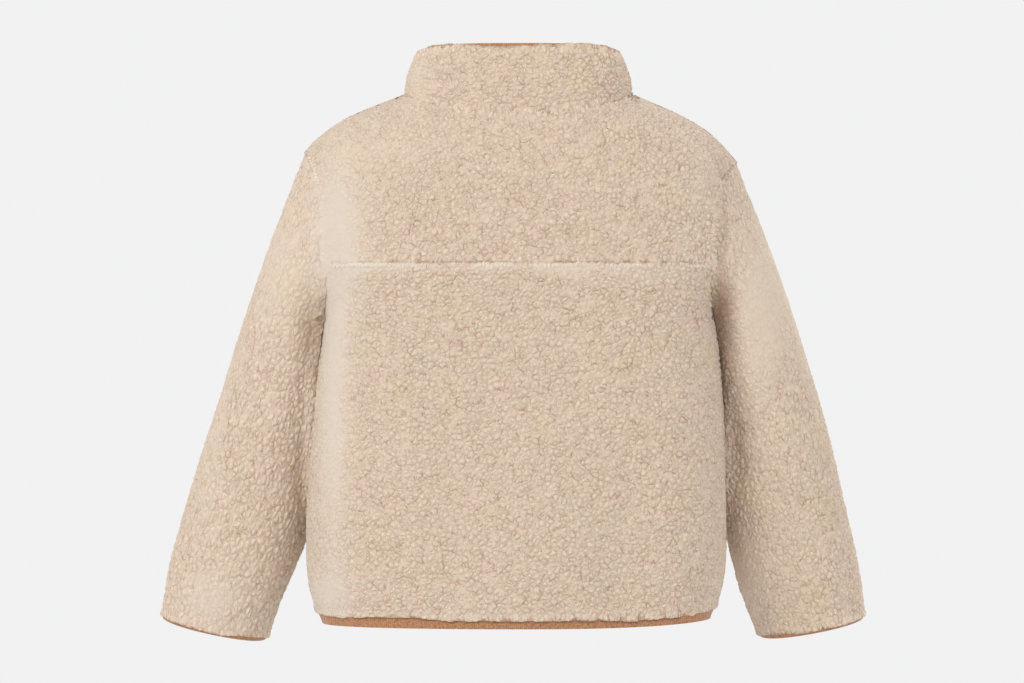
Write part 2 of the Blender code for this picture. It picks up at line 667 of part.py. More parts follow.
def crown_mesh():
    """The arch on the slider that holds the pull, seen from the side and drawn out across the zip."""
    foot = SLIDER_TOP - SLIDER_PLATE / 2
    roof = SLIDER_TOP + CROWN_ROOM
    half = CROWN_LENGTH / 2
    top = roof + CROWN_BAND
    inside = half - CROWN_BAND
    outer = [(foot, half), (top - CROWN_CORNER, half), (top, half - CROWN_CORNER)]
    inner = [(foot, inside), (roof - CROWN_CORNER / 2, inside), (roof, inside - CROWN_CORNER / 2)]
    outline = [*outer, *[(y, -z) for y, z in outer[::-1]], *[(y, -z) for y, z in inner], *inner[::-1]]
    return plate_mesh(outline, 0, -CROWN_WIDTH / 2, CROWN_WIDTH / 2)


def pull_tab(frame, material):
    """A flat tab with a window round the crown and a bar under it, hanging from the bar."""
    hinge = frame @ Matrix.Translation((0, SLIDER_TOP + CROWN_ROOM / 2, 0))
    hinge = hinge @ Matrix.Rotation(math.radians(PULL_LEAN), 4, "X")
    end = PULL_WIDTH / 2
    head = PULL_HEAD_WIDTH / 2
    edge = PULL_BAR / 2
    turns = np.linspace(0, math.pi, 13)
    outline = [(end * math.cos(turn), end - PULL_LENGTH - end * math.sin(turn)) for turn in turns]
    outline += [(-head, edge - PULL_CORNER), (PULL_CORNER - head, edge)]
    outline += [(head - PULL_CORNER, edge), (head, edge - PULL_CORNER)]
    tab = placed("pull_tab", plate_mesh(outline, 1, -edge, edge), hinge, material)
    window_middle = -(PULL_BAR + PULL_WINDOW_LENGTH) / 2
    window = box_mesh((PULL_WINDOW, PULL_BAR * 2, PULL_WINDOW_LENGTH), (0, 0, window_middle))
    joined(tab, [window], "DIFFERENCE")


def zip_parts(pieces, normals):
    edges = zip_edges(pieces, normals)
    tape = principled("zip_tape", (0.42, 0.24, 0.14), 0.85)
    metal = principled("zip_metal", (0.50, 0.38, 0.24), 0.35, 1.0)
    for side in (-1, 1):
        zip_tape(side, edges, tape)
    on_slider = zip_frame(edges, SLIDER_BELOW_TOP, True)
    slider(on_slider, metal)
    pull_tab(on_slider, metal)
    stop_y = -FLEECE_WALL + STOP_SIZE[1] / 2
    for side, name in ((-1, "zip_stop_left"), (1, "zip_stop_right")):
        at = (side * (TAPE_PARTING + STOP_SIZE[0] / 2 + SEAM_GAP), stop_y, 0)
        placed(name, box_mesh(STOP_SIZE, at, 0.0003), zip_frame(edges, STOP_BELOW_TOP, True), metal)
    box_y = -FLEECE_WALL + BOX_SIZE[1] / 2
    box = box_mesh(BOX_SIZE, (0, box_y, 0), 0.0005)
    placed("zip_box", box, zip_frame(edges, BOX_ABOVE_FOOT, False), metal)


def link(piece):
    bpy.data.collections["sherpa_jacket"].objects.link(piece)
    return piece


def principled(name, colour, roughness, metallic=0.0):
    material = bpy.data.materials.new(name)
    material.use_nodes = True
    shader = material.node_tree.nodes["Principled BSDF"]
    shader.inputs["Base Color"].default_value = (*colour, 1)
    shader.inputs["Roughness"].default_value = roughness
    shader.inputs["Metallic"].default_value = metallic
    return material


def clear_scene():
    for obj in list(bpy.data.objects):
        bpy.data.objects.remove(obj, do_unlink=True)
    for name in ("sherpa_jacket", "helpers"):
        bpy.context.scene.collection.children.link(bpy.data.collections.new(name))


def cloth_pieces():
    """Every cloth piece: its outer points, whether its columns close into a ring, and what it is part of."""
    backs = {side: half_panel(-1, side) for side in (-1, 1)}
    fronts = {side: half_panel(1, side) for side in (-1, 1)}
    back = np.concatenate([backs[-1][:, ::-1], backs[1][:, 1:]], axis=1)
    back[:, NECK_COLUMNS + SHOULDER_COLUMNS, 0] = 0
    seam_row = BAND_ROWS + SIDE_ROWS + ARMHOLE_LOW_ROWS
    neck = slice(SHOULDER_COLUMNS, SHOULDER_COLUMNS + 2 * NECK_COLUMNS + 1)
    left_front, right_front = fronts[-1], fronts[1][:, ::-1]
    band = slice(0, BAND_ROWS + 1)
    hem = np.concatenate([left_front[band], back[band, 1:-1], right_front[band]], axis=1)
    collar = collar_grid(left_front, back[-1, neck], fronts[1])
    sleeves = {-1: sleeve_grid(-1), 1: sleeve_grid(1)[:, ::-1]}
    cuffs = {
        side: band_past(rings[-1], rings[-2], CUFF_BAND, CUFF_DRAW_IN)
        for side, rings in sleeves.items()
    }
    collar_band = band_past(collar[-1], collar[-2], COLLAR_BAND, COLLAR_DRAW_IN)
    return {
        "back_lower": Cloth(back[BAND_ROWS : seam_row + 1], False, "trunk"),
        "back_yoke": Cloth(back[seam_row:], False, "trunk"),
        "front_left": Cloth(left_front[BAND_ROWS:], False, "trunk"),
        "front_right": Cloth(right_front[BAND_ROWS:], False, "trunk"),
        "collar": Cloth(collar, False, "collar"),
        "sleeve_left": Cloth(sleeves[-1], True, "sleeves"),
        "sleeve_right": Cloth(sleeves[1], True, "sleeves"),
        "hem_binding": Cloth(hem, False, "binding"),
        "collar_binding": Cloth(collar_band, False, "binding"),
        "cuff_binding_left": Cloth(cuffs[-1], True, "binding"),
        "cuff_binding_right": Cloth(cuffs[1], True, "binding"),
    }


def main():
    clear_scene()
    pieces = cloth_pieces()
    normals = shared_normals(pieces)
    fleece = principled("sherpa_fleece", (0.68, 0.53, 0.41), 0.95)
    binding = principled("tan_binding", (0.50, 0.27, 0.15), 0.8)
    for name, piece in pieces.items():
        trim = piece.part_of == "binding"
        outer = clear_of_seams(piece) - normals[name] * (BINDING_INSET if trim else 0)
        inner = outer - normals[name] * (BINDING_WALL if trim else FLEECE_WALL)
        wall(name, piece, outer, inner, binding if trim else fleece)
    zip_parts(pieces, normals)


main()
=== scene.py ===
import math

import bpy
import numpy as np
from mathutils import Euler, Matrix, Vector, kdtree
from mathutils.bvhtree import BVHTree


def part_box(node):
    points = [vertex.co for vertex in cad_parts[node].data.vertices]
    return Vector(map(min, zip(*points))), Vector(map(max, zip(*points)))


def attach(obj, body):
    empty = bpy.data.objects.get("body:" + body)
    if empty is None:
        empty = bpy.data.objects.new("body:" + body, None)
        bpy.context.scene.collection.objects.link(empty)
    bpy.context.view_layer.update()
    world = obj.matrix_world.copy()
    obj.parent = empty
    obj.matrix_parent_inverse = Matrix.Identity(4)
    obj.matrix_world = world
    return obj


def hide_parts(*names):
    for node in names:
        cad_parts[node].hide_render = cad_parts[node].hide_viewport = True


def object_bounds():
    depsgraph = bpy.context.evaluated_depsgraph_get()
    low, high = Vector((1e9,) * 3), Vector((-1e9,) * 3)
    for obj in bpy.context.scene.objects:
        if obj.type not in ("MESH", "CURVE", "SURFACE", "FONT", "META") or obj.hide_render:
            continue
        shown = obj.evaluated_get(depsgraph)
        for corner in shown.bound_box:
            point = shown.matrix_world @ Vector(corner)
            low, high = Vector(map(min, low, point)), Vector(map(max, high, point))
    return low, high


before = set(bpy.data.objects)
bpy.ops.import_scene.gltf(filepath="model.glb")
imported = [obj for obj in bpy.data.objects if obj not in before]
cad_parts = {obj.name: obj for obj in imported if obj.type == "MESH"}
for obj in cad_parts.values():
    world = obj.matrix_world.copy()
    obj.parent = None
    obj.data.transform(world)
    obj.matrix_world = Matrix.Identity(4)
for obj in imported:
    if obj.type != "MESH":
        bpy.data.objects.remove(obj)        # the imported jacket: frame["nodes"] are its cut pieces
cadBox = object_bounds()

print("frame loaded")


# ---- camera, level with the middle of the back, as the jacket was photographed
cameraSettings = {"place": (-0.0052, -3.0, -0.1956), "lens": 131.84, "tilt": 90.0}

bpy.ops.object.camera_add(
    location=cameraSettings["place"],
    rotation=(math.radians(cameraSettings["tilt"]), 0.0, 0.0),
)
camera = bpy.context.object
camera.data.lens = cameraSettings["lens"]
bpy.context.scene.camera = camera


# ---- small helpers used by every piece
def selectOnly(piece):
    if bpy.context.object and bpy.context.object.mode != "OBJECT":
        bpy.ops.object.mode_set(mode="OBJECT")
    bpy.ops.object.select_all(action="DESELECT")
    piece.select_set(True)
    bpy.context.view_layer.objects.active = piece


def vertexPlaces(mesh):
    places = np.empty(len(mesh.vertices) * 3, np.float32)
    mesh.vertices.foreach_get("co", places)
    return places.reshape(-1, 3).astype(float)


def setPlaces(piece, places):
    piece.data.vertices.foreach_set("co", places.astype(np.float32).ravel())
    piece.data.update()


def markPoints(mesh, name, values):
    marked = mesh.attributes.new(name, "FLOAT", "POINT")
    marked.data.foreach_set("value", values.astype(np.float32))


def cleanCopy(nodeName, pieceName, sharpAt=38.0):
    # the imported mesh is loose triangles, so its copy is merged and turned back to quads
    piece = bpy.data.objects.new(pieceName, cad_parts[nodeName].data.copy())
    bpy.context.scene.collection.objects.link(piece)
    piece.data.materials.clear()
    selectOnly(piece)
    if piece.data.has_custom_normals:
        bpy.ops.mesh.customdata_custom_splitnormals_clear()
    bpy.ops.object.mode_set(mode="EDIT")
    bpy.ops.mesh.select_all(action="SELECT")
    bpy.ops.mesh.remove_doubles(threshold=0.00002)
    bpy.ops.mesh.tris_convert_to_quads(
        face_threshold=math.radians(40), shape_threshold=math.radians(70)
    )
    bpy.ops.mesh.select_mode(type="EDGE")
    bpy.ops.mesh.select_all(action="DESELECT")
    bpy.ops.mesh.edges_select_sharp(sharpness=math.radians(sharpAt))
    bpy.ops.transform.edge_crease(value=1)
    bpy.ops.mesh.select_mode(type="VERT")
    bpy.ops.object.mode_set(mode="OBJECT")
    return piece


def applyModifier(piece, kind, **values):
    selectOnly(piece)
    bpy.ops.object.modifier_add(type=kind)
    modifier = piece.modifiers[-1]
    for name, value in values.items():
        setattr(modifier, name, value)
    bpy.ops.object.modifier_apply(modifier=modifier.name)


wallAtLeast = 0.0046     # the fleece's wall, a little less than its full 5.5 mm


def skinOfFaces(piece, sharpAt=38.0):
    # 0 on the outer skin, 1 on the inner skin and 2 on the cut edges between them
    mesh = piece.data
    faceCount = len(mesh.polygons)
    normals = np.array([face.normal[:] for face in mesh.polygons])
    areas = np.array([face.area for face in mesh.polygons])
    edgeFaces = {}
    for face in mesh.polygons:
        for key in face.edge_keys:
            edgeFaces.setdefault(key, []).append(face.index)
    group = list(range(faceCount))

    def rootOf(face):
        while group[face] != face:
            group[face] = group[group[face]]
            face = group[face]
        return face

    flatEnough = math.cos(math.radians(sharpAt))
    for pair in edgeFaces.values():
        if len(pair) == 2 and normals[pair[0]] @ normals[pair[1]] > flatEnough:
            group[rootOf(pair[0])] = rootOf(pair[1])
    roots = np.array([rootOf(face) for face in range(faceCount)])
    total = {root: areas[roots == root].sum() for root in set(roots)}
    largest = sorted(total, key=total.get, reverse=True)
    skin = np.where(roots == largest[0], 0, np.where(roots == largest[1], 1, 2))
    # a cut edge that runs on smoothly from the outer skin is told by how near it lies to the inner one
    innerFaces = [face.vertices[:] for face in mesh.polygons if skin[face.index] == 1]
    inner = BVHTree.FromPolygons([vertex.co[:] for vertex in mesh.vertices], innerFaces)
    for face in mesh.polygons:
        if skin[face.index] == 0 and inner.find_nearest(face.center)[3] < wallAtLeast:
            skin[face.index] = 2
    return skin


def shadeSmooth(piece, angle=180.0):
    selectOnly(piece)
    bpy.ops.object.shade_smooth_by_angle(angle=math.radians(angle))


# ---- node helpers
def feed(tree, socket, value):
    if isinstance(value, bpy.types.NodeSocket):
        tree.links.new(value, socket)
    else:
        socket.default_value = value


def setInput(tree, node, name, value):
    feed(tree, node.inputs[name], value)


def mathNode(tree, operation, *values, clamp=False):
    node = tree.nodes.new("ShaderNodeMath")
    node.operation = operation
    node.use_clamp = clamp
    for socket, value in zip(node.inputs, values):
        feed(tree, socket, value)
    return node.outputs[0]


def times(tree, first, second):
    return mathNode(tree, "MULTIPLY", first, second)


def timesPlus(tree, first, second, added):
    return mathNode(tree, "MULTIPLY_ADD", first, second, added)


def oneMinus(tree, value):
    return mathNode(tree, "SUBTRACT", 1.0, value)


def vectorMath(tree, operation, *values):
    node = tree.nodes.new("ShaderNodeVectorMath")
    node.operation = operation
    second = node.inputs["Scale"] if operation == "SCALE" else node.inputs[1]
    for socket, value in zip((node.inputs[0], second), values):
        feed(tree, socket, value)
    return node.outputs["Vector"]


def smoothStep(tree, value, low, high, toLow=0.0, toHigh=1.0):
    node = tree.nodes.new("ShaderNodeMapRange")
    node.interpolation_type = "SMOOTHSTEP"
    names = ("Value", "From Min", "From Max", "To Min", "To Max")
    for name, one in zip(names, (value, low, high, toLow, toHigh)):
        setInput(tree, node, name, one)
    return node.outputs["Result"]


def cellEdges(tree, places, scale):
    node = tree.nodes.new("ShaderNodeTexVoronoi")
    node.feature = "DISTANCE_TO_EDGE"
    setInput(tree, node, "Vector", places)
    setInput(tree, node, "Scale", scale)
    return node.outputs["Distance"]


def noiseNode(tree, places, scale, detail=2.0, roughness=0.5, output="Fac"):
    node = tree.nodes.new("ShaderNodeTexNoise")
    names = ("Vector", "Scale", "Detail", "Roughness")
    for name, one in zip(names, (places, scale, detail, roughness)):
        setInput(tree, node, name, one)
    return node.outputs[output]


def waveNode(tree, places, scale):
    node = tree.nodes.new("ShaderNodeTexWave")
    setInput(tree, node, "Vector", places)
    setInput(tree, node, "Scale", scale)
    return node


def mixColour(tree, share, first, second):
    node = tree.nodes.new("ShaderNodeMix")
    node.data_type = "RGBA"
    sockets = {socket.identifier: socket for socket in (*node.inputs, *node.outputs)}
    for identifier, one in (("Factor_Float", share), ("A_Color", first), ("B_Color", second)):
        feed(tree, sockets[identifier], one)
    return sockets["Result_Color"]


def namedValue(tree, name, kind="FLOAT"):
    node = tree.nodes.new("GeometryNodeInputNamedAttribute")
    node.data_type = kind
    setInput(tree, node, "Name", name)
    return node.outputs["Attribute"]


# ---- the curly pile, as geometry: cells of loops with crevices between them
pileSettings = {
    "Curl Size": 0.0040,
    "Clump Size": 0.0130,
    "Depth": 0.0017,
    "Warp": 0.0019,
    "Seam Depth": 0.0008,
    "Seam Width": 0.0036,
    "Lap": 0.0019,
    "Gap Fill": 0.00024,
    "Trim Start": 0.0010,
    "Trim Lap": 0.0021,
    "Bare Back": -0.0014,
    "Trim Lift": 0.0009,
}
pileForm = {
    "wobbles": ((150.0, 1.0), (520.0, 0.55)),  # noise scale and share of the warp
    "curlRise": (-0.04, 0.26),
    "clumpRise": (0.0, 0.16),
    "curlShare": 0.78,
    "clumpShare": 0.22,
    "lowPlaces": {"scale": 70.0, "range": (0.25, 0.60, 0.80, 1.0)},
    "unevenSeam": {"scale": 230.0, "range": (0.32, 0.66)},
    "trimCover": {"scale": 30.0, "range": (0.36, 0.62, 0.55, 1.0)},
    "brushedFlat": -0.8,
    "trimFlat": -0.6,
    "grooveRag": -0.7,
    "leastRag": 0.50,
    "trimRag": 0.20,
}


def makeCurlyPile():
    tree = bpy.data.node_groups.new("curlyPile", "GeometryNodeTree")
    tree.is_modifier = True
    face = tree.interface
    face.new_socket("Geometry", in_out="INPUT", socket_type="NodeSocketGeometry")
    face.new_socket("Geometry", in_out="OUTPUT", socket_type="NodeSocketGeometry")
    for name in ("Turn", "Stretch", *pileSettings):
        face.new_socket(name, in_out="INPUT", socket_type="NodeSocketFloat")
    given = tree.nodes.new("NodeGroupInput").outputs
    place = tree.nodes.new("GeometryNodeInputPosition").outputs[0]
    turned = tree.nodes.new("ShaderNodeVectorRotate")
    turned.rotation_type = "Y_AXIS"
    setInput(tree, turned, "Vector", place)
    setInput(tree, turned, "Angle", given["Turn"])
    stretchBy = tree.nodes.new("ShaderNodeCombineXYZ")
    setInput(tree, stretchBy, "X", 1.0)
    setInput(tree, stretchBy, "Y", 1.0)
    setInput(tree, stretchBy, "Z", given["Stretch"])
    stretched = vectorMath(tree, "MULTIPLY", turned.outputs[0], stretchBy.outputs[0])
    pile = stretched
    for scale, share in pileForm["wobbles"]:
        wobble = noiseNode(tree, stretched, scale, 1.0, output="Color")
        wobble = vectorMath(tree, "SUBTRACT", wobble, (0.5, 0.5, 0.5))
        wobble = vectorMath(tree, "SCALE", wobble, times(tree, given["Warp"], share))
        pile = vectorMath(tree, "ADD", pile, wobble)

    curlEdge = cellEdges(tree, pile, mathNode(tree, "DIVIDE", 1.0, given["Curl Size"]))
    clumpEdge = cellEdges(tree, pile, mathNode(tree, "DIVIDE", 1.0, given["Clump Size"]))
    curl = smoothStep(tree, curlEdge, *pileForm["curlRise"])
    clump = smoothStep(tree, clumpEdge, *pileForm["clumpRise"])
    low = noiseNode(tree, pile, pileForm["lowPlaces"]["scale"], 1.0)
    height = times(tree, clump, pileForm["clumpShare"])
    height = timesPlus(tree, curl, pileForm["curlShare"], height)
    height = times(tree, height, smoothStep(tree, low, *pileForm["lowPlaces"]["range"]))

    brushed = namedValue(tree, "brushed")
    outside = namedValue(tree, "outside")
    trim = namedValue(tree, "trim")
    rims = tree.nodes.new("GeometryNodeSeparateGeometry")
    rims.domain = "FACE"
    tree.links.new(given["Geometry"], rims.inputs["Geometry"])
    tree.links.new(namedValue(tree, "rim", "BOOLEAN"), rims.inputs["Selection"])
    toRim = tree.nodes.new("GeometryNodeProximity")
    toRim.target_element = "FACES"
    tree.links.new(rims.outputs["Selection"], toRim.inputs[0])
    away = mathNode(tree, "DIVIDE", toRim.outputs["Distance"], given["Seam Width"])
    seam = smoothStep(tree, away, 0.0, 1.0, 1.0, 0.0)
    uneven = noiseNode(tree, pile, pileForm["unevenSeam"]["scale"], 1.0)
    uneven = smoothStep(tree, uneven, *pileForm["unevenSeam"]["range"])
    cover = noiseNode(tree, pile, pileForm["trimCover"]["scale"], 1.0)
    covered = namedValue(tree, "covered")
    cover = mathNode(tree, "MAXIMUM", smoothStep(tree, cover, *pileForm["trimCover"]["range"]), covered)
    nearTrim = mathNode(tree, "MINIMUM", trim, 1.0)

    calm = timesPlus(tree, brushed, pileForm["brushedFlat"], 1.0)
    sink = times(tree, oneMinus(tree, height), given["Depth"])
    sink = times(tree, sink, calm)
    groove = times(tree, seam, oneMinus(tree, nearTrim))
    ragged = timesPlus(tree, uneven, pileForm["grooveRag"], 1.0)
    groove = times(tree, groove, ragged)
    snug = namedValue(tree, "snug")
    groove = times(tree, groove, oneMinus(tree, snug))
    plump = times(tree, namedValue(tree, "plump"), seam)
    groove = mathNode(tree, "SUBTRACT", groove, plump)
    sink = timesPlus(tree, nearTrim, times(tree, sink, pileForm["trimFlat"]), sink)
    sink = timesPlus(tree, groove, given["Seam Depth"], sink)
    lift = times(tree, times(tree, nearTrim, seam), given["Trim Lift"])
    sink = mathNode(tree, "SUBTRACT", sink, lift)
    sink = times(tree, sink, outside)
    skinWay = namedValue(tree, "skinWay", "FLOAT_VECTOR")
    offset = vectorMath(tree, "SCALE", skinWay, times(tree, sink, -1.0))
    edgeWay = tree.nodes.new("GeometryNodeSampleNearestSurface")
    edgeWay.data_type = "FLOAT_VECTOR"
    tree.links.new(rims.outputs["Selection"], edgeWay.inputs["Mesh"])
    tree.links.new(tree.nodes.new("GeometryNodeInputNormal").outputs[0], edgeWay.inputs["Value"])
    least = timesPlus(tree, nearTrim, pileForm["trimRag"], pileForm["leastRag"])
    rag = timesPlus(tree, uneven, oneMinus(tree, least), least)
    rag = mathNode(tree, "MAXIMUM", rag, covered)
    trimLap = timesPlus(tree, cover, given["Trim Lap"], given["Trim Start"])
    lap = times(tree, mathNode(tree, "SUBTRACT", trimLap, given["Lap"]), nearTrim)
    lap = times(tree, mathNode(tree, "ADD", lap, given["Lap"]), rag)
    bare = namedValue(tree, "bare")
    held = mathNode(tree, "MAXIMUM", bare, snug)
    lap = times(tree, lap, oneMinus(tree, held))
    lap = timesPlus(tree, bare, given["Bare Back"], lap)
    lap = times(tree, times(tree, lap, outside), seam)
    lap = timesPlus(tree, namedValue(tree, "onRim"), given["Gap Fill"], lap)
    over = vectorMath(tree, "SCALE", edgeWay.outputs["Value"], lap)
    offset = vectorMath(tree, "ADD", offset, over)

    stored = given["Geometry"]
    for name, kind, value in (("pile", "FLOAT_VECTOR", pile), ("seam", "FLOAT", seam)):
        store = tree.nodes.new("GeometryNodeStoreNamedAttribute")
        store.data_type = kind
        store.domain = "POINT"
        setInput(tree, store, "Name", name)
        tree.links.new(stored, store.inputs["Geometry"])
        tree.links.new(value, store.inputs["Value"])
        stored = store.outputs["Geometry"]
    move = tree.nodes.new("GeometryNodeSetPosition")
    tree.links.new(stored, move.inputs["Geometry"])
    tree.links.new(offset, move.inputs["Offset"])
    made = tree.nodes.new("NodeGroupOutput")
    tree.links.new(move.outputs["Geometry"], made.inputs["Geometry"])
    return tree


# ---- finishes
def newMaterial(name, roughness, metallic=0.0):
    material = bpy.data.materials.new(name)
    material.use_nodes = True
    shader = material.node_tree.nodes["Principled BSDF"]
    shader.inputs["Roughness"].default_value = roughness
    shader.inputs["Metallic"].default_value = metallic
    return material, material.node_tree, shader


def readAttribute(tree, name, output="Fac"):
    node = tree.nodes.new("ShaderNodeAttribute")
    node.attribute_name = name
    return node.outputs[output]


def objectPlaces(tree):
    return tree.nodes.new("ShaderNodeTexCoord").outputs["Object"]


def addBump(tree, shader, height, distance, strength=1.0):
    bump = tree.nodes.new("ShaderNodeBump")
    setInput(tree, bump, "Distance", distance)
    setInput(tree, bump, "Strength", strength)
    tree.links.new(height, bump.inputs["Height"])
    tree.links.new(bump.outputs["Normal"], shader.inputs["Normal"])


def makeTwoTone():
    # soft patches of two colours, for every yarn and metal here
    tree = bpy.data.node_groups.new("twoTone", "ShaderNodeTree")
    face = tree.interface
    for name, kind in (
        ("Places", "NodeSocketVector"),
        ("Size", "NodeSocketFloat"),
        ("From", "NodeSocketFloat"),
        ("To", "NodeSocketFloat"),
        ("First", "NodeSocketColor"),
        ("Second", "NodeSocketColor"),
    ):
        face.new_socket(name, in_out="INPUT", socket_type=kind)
    face.new_socket("Colour", in_out="OUTPUT", socket_type="NodeSocketColor")
    face.new_socket("Patches", in_out="OUTPUT", socket_type="NodeSocketFloat")
    given = tree.nodes.new("NodeGroupInput").outputs
    scale = mathNode(tree, "DIVIDE", 1.0, given["Size"])
    patches = noiseNode(tree, given["Places"], scale, 3.0, 0.6)
    share = smoothStep(tree, patches, given["From"], given["To"])
    made = tree.nodes.new("NodeGroupOutput")
    tree.links.new(mixColour(tree, share, given["First"], given["Second"]), made.inputs["Colour"])
    tree.links.new(patches, made.inputs["Patches"])
    return tree


def useTwoTone(tree, places, size, low, high, first, second):
    node = tree.nodes.new("ShaderNodeGroup")
    node.node_tree = twoTone
    names = ("Places", "Size", "From", "To", "First", "Second")
    for name, one in zip(names, (places, size, low, high, first, second)):
        setInput(tree, node, name, one)
    return node.outputs["Colour"], node.outputs["Patches"]


fleeceFinish = {
    "tip": (0.785, 0.648, 0.512, 1.0),
    "yellow": (0.78, 0.648, 0.48, 1.0),
    "pink": (0.785, 0.622, 0.505, 1.0),
    # tone of the smoothed-down pile, also used as a painted highlight on the body's left edge, the
    # right sleeve and under the yoke seam
    "combedAndLitTone": (0.675, 0.56, 0.438, 1.0),
    # painted highlight, paler than the smoothed pile
    "pale": (0.675, 0.585, 0.49, 1.0),
    # painted shade in the crevices between the nodules and along the seams
    "paintedCreviceShade": (0.35, 0.205, 0.125, 1.0),
    # painted shade where the sleeves lie in the body's shadow and in the right armhole crease
    "fold": (0.19, 0.092, 0.045, 1.0),
    "roughness": 0.95,
    "sheen": 0.30,
    "sheenRoughness": 0.45,
    "specular": 0.08,
    "yellowPatches": (0.038, 0.50, 0.72),  # size in metres, and where they start and are full
    "pinkPatches": (0.021, 0.54, 0.74),
    "combedShare": 0.85,
    "waver": 0.0009,
    "waverScale": 800.0,
    "lineWidth": 0.17,
    "cleftWidth": 0.07,
    "cleftShare": 0.45,
    "lineStrength": (190.0, 0.30, 0.64, 0.18, 0.56),
    "loop": 0.0022,
    "loopWidth": 0.30,
    "loopShade": 0.24,
    "domeWidth": 0.42,
    "raggedSeam": (90.0, 0.38, 0.60),
    "seamStart": 0.72,
    "seamShade": 0.45,
    "plumpShade": -0.8,
    "fibre": 0.0004,
    "loopRise": 0.22,
    "fibreRise": 0.30,
    "bump": (0.0013, 0.85),
}


def makeFleece():
    look = fleeceFinish
    material, tree, shader = newMaterial("sherpaFleece", look["roughness"])
    shader.inputs["Sheen Weight"].default_value = look["sheen"]
    shader.inputs["Sheen Roughness"].default_value = look["sheenRoughness"]
    shader.inputs["Specular IOR Level"].default_value = look["specular"]
    pile = readAttribute(tree, "pile", "Vector")
    seam = readAttribute(tree, "seam")
    # where the pile is smoothed down it loses the shade of its crevices and takes a smoother tone; on
    # the body's left edge, the right sleeve and under the yoke seam this is a painted highlight
    brushed = times(tree, readAttribute(tree, "brushed"), look["combedShare"])
    calm = oneMinus(tree, brushed)
    aside = vectorMath(tree, "ADD", pile, (0.31, 0.17, 0.23))
    colour = useTwoTone(tree, pile, *look["yellowPatches"], look["tip"], look["yellow"])[0]
    colour = useTwoTone(tree, aside, *look["pinkPatches"], colour, look["pink"])[0]
    # painted highlight: the smoothed places are painted paler where the light catches them
    combedAndLitTone = mixColour(tree, readAttribute(tree, "pale"), look["combedAndLitTone"], look["pale"])
    colour = mixColour(tree, brushed, colour, combedAndLitTone)
    # painted shade: thin brown lines in the crevices between the nodules, deeper between the clumps
    fine = noiseNode(tree, pile, look["waverScale"], 1.0, output="Color")
    fine = vectorMath(tree, "SUBTRACT", fine, (0.5, 0.5, 0.5))
    fine = vectorMath(tree, "ADD", pile, vectorMath(tree, "SCALE", fine, look["waver"]))
    nodules = cellEdges(tree, fine, 1.0 / pileSettings["Curl Size"])
    lines = smoothStep(tree, nodules, 0.0, look["lineWidth"], 1.0, 0.0)
    clefts = cellEdges(tree, fine, 1.0 / pileSettings["Clump Size"])
    clefts = smoothStep(tree, clefts, 0.0, look["cleftWidth"], 1.0, 0.0)
    scale, *strengths = look["lineStrength"]
    strength = smoothStep(tree, noiseNode(tree, aside, scale, 2.0), *strengths)
    shade = timesPlus(tree, clefts, look["cleftShare"], lines)
    shade = times(tree, shade, strength)
    loops = cellEdges(tree, fine, 1.0 / look["loop"])
    loops = smoothStep(tree, loops, 0.0, look["loopWidth"])
    small = times(tree, oneMinus(tree, loops), look["loopShade"])
    shade = times(tree, mathNode(tree, "MAXIMUM", shade, small), calm)
    scale, *edges = look["raggedSeam"]
    ragged = smoothStep(tree, noiseNode(tree, aside, scale, 2.0), *edges)
    plump = times(tree, readAttribute(tree, "plump"), look["plumpShade"])
    ragged = mathNode(tree, "ADD", plump, ragged, clamp=True)
    seamShade = times(tree, smoothStep(tree, seam, look["seamStart"], 1.0), ragged)
    shade = timesPlus(tree, seamShade, look["seamShade"], shade)
    # the painted shade of the crevices and seams is mixed into the colour
    colour = mixColour(tree, mathNode(tree, "MINIMUM", shade, 1.0), colour, look["paintedCreviceShade"])
    # painted shade where the sleeves lie in the body's shadow
    colour = mixColour(tree, readAttribute(tree, "shaded"), colour, look["fold"])
    tree.links.new(colour, shader.inputs["Base Color"])
    fibre = noiseNode(tree, pile, 1.0 / look["fibre"], 3.0, 0.6)
    domes = times(tree, smoothStep(tree, nodules, 0.0, look["domeWidth"]), calm)
    height = timesPlus(tree, loops, look["loopRise"], times(tree, fibre, look["fibreRise"]))
    addBump(tree, shader, mathNode(tree, "ADD", domes, height), *look["bump"])
    return material


backingFinish = {
    "first": (0.56, 0.46, 0.36, 1.0),
    "second": (0.64, 0.53, 0.42, 1.0),
    "roughness": 0.9,
    "sheen": 0.15,
    "patches": (0.040, 0.35, 0.65),
    "wales": 160.0,
    "fluff": 900.0,
    "bump": (0.0003, 0.6),
}


def makeBacking():
    # the plain knit that holds the pile, seen only inside the jacket
    look = backingFinish
    material, tree, shader = newMaterial("knitBacking", look["roughness"])
    shader.inputs["Sheen Weight"].default_value = look["sheen"]
    places = objectPlaces(tree)
    wales = waveNode(tree, places, look["wales"])
    colour = useTwoTone(tree, places, *look["patches"], look["first"], look["second"])[0]
    tree.links.new(colour, shader.inputs["Base Color"])
    fluff = noiseNode(tree, places, look["fluff"], 3.0)
    knit = timesPlus(tree, wales.outputs["Fac"], 0.5, fluff)
    addBump(tree, shader, knit, *look["bump"])
    return material


bindingFinish = {
    "light": (0.50, 0.255, 0.125, 1.0),
    "dark": (0.27, 0.115, 0.055, 1.0),
    "roughness": 0.9,
    "sheen": 0.30,
    "specular": 0.15,
    "melange": (0.0016, 0.38, 0.75),
    "ribs": 200.0,
    "ribWaver": 1.5,
    "ribShade": 0.35,
    "knit": 750.0,
    "bump": (0.0005, 0.8),
}


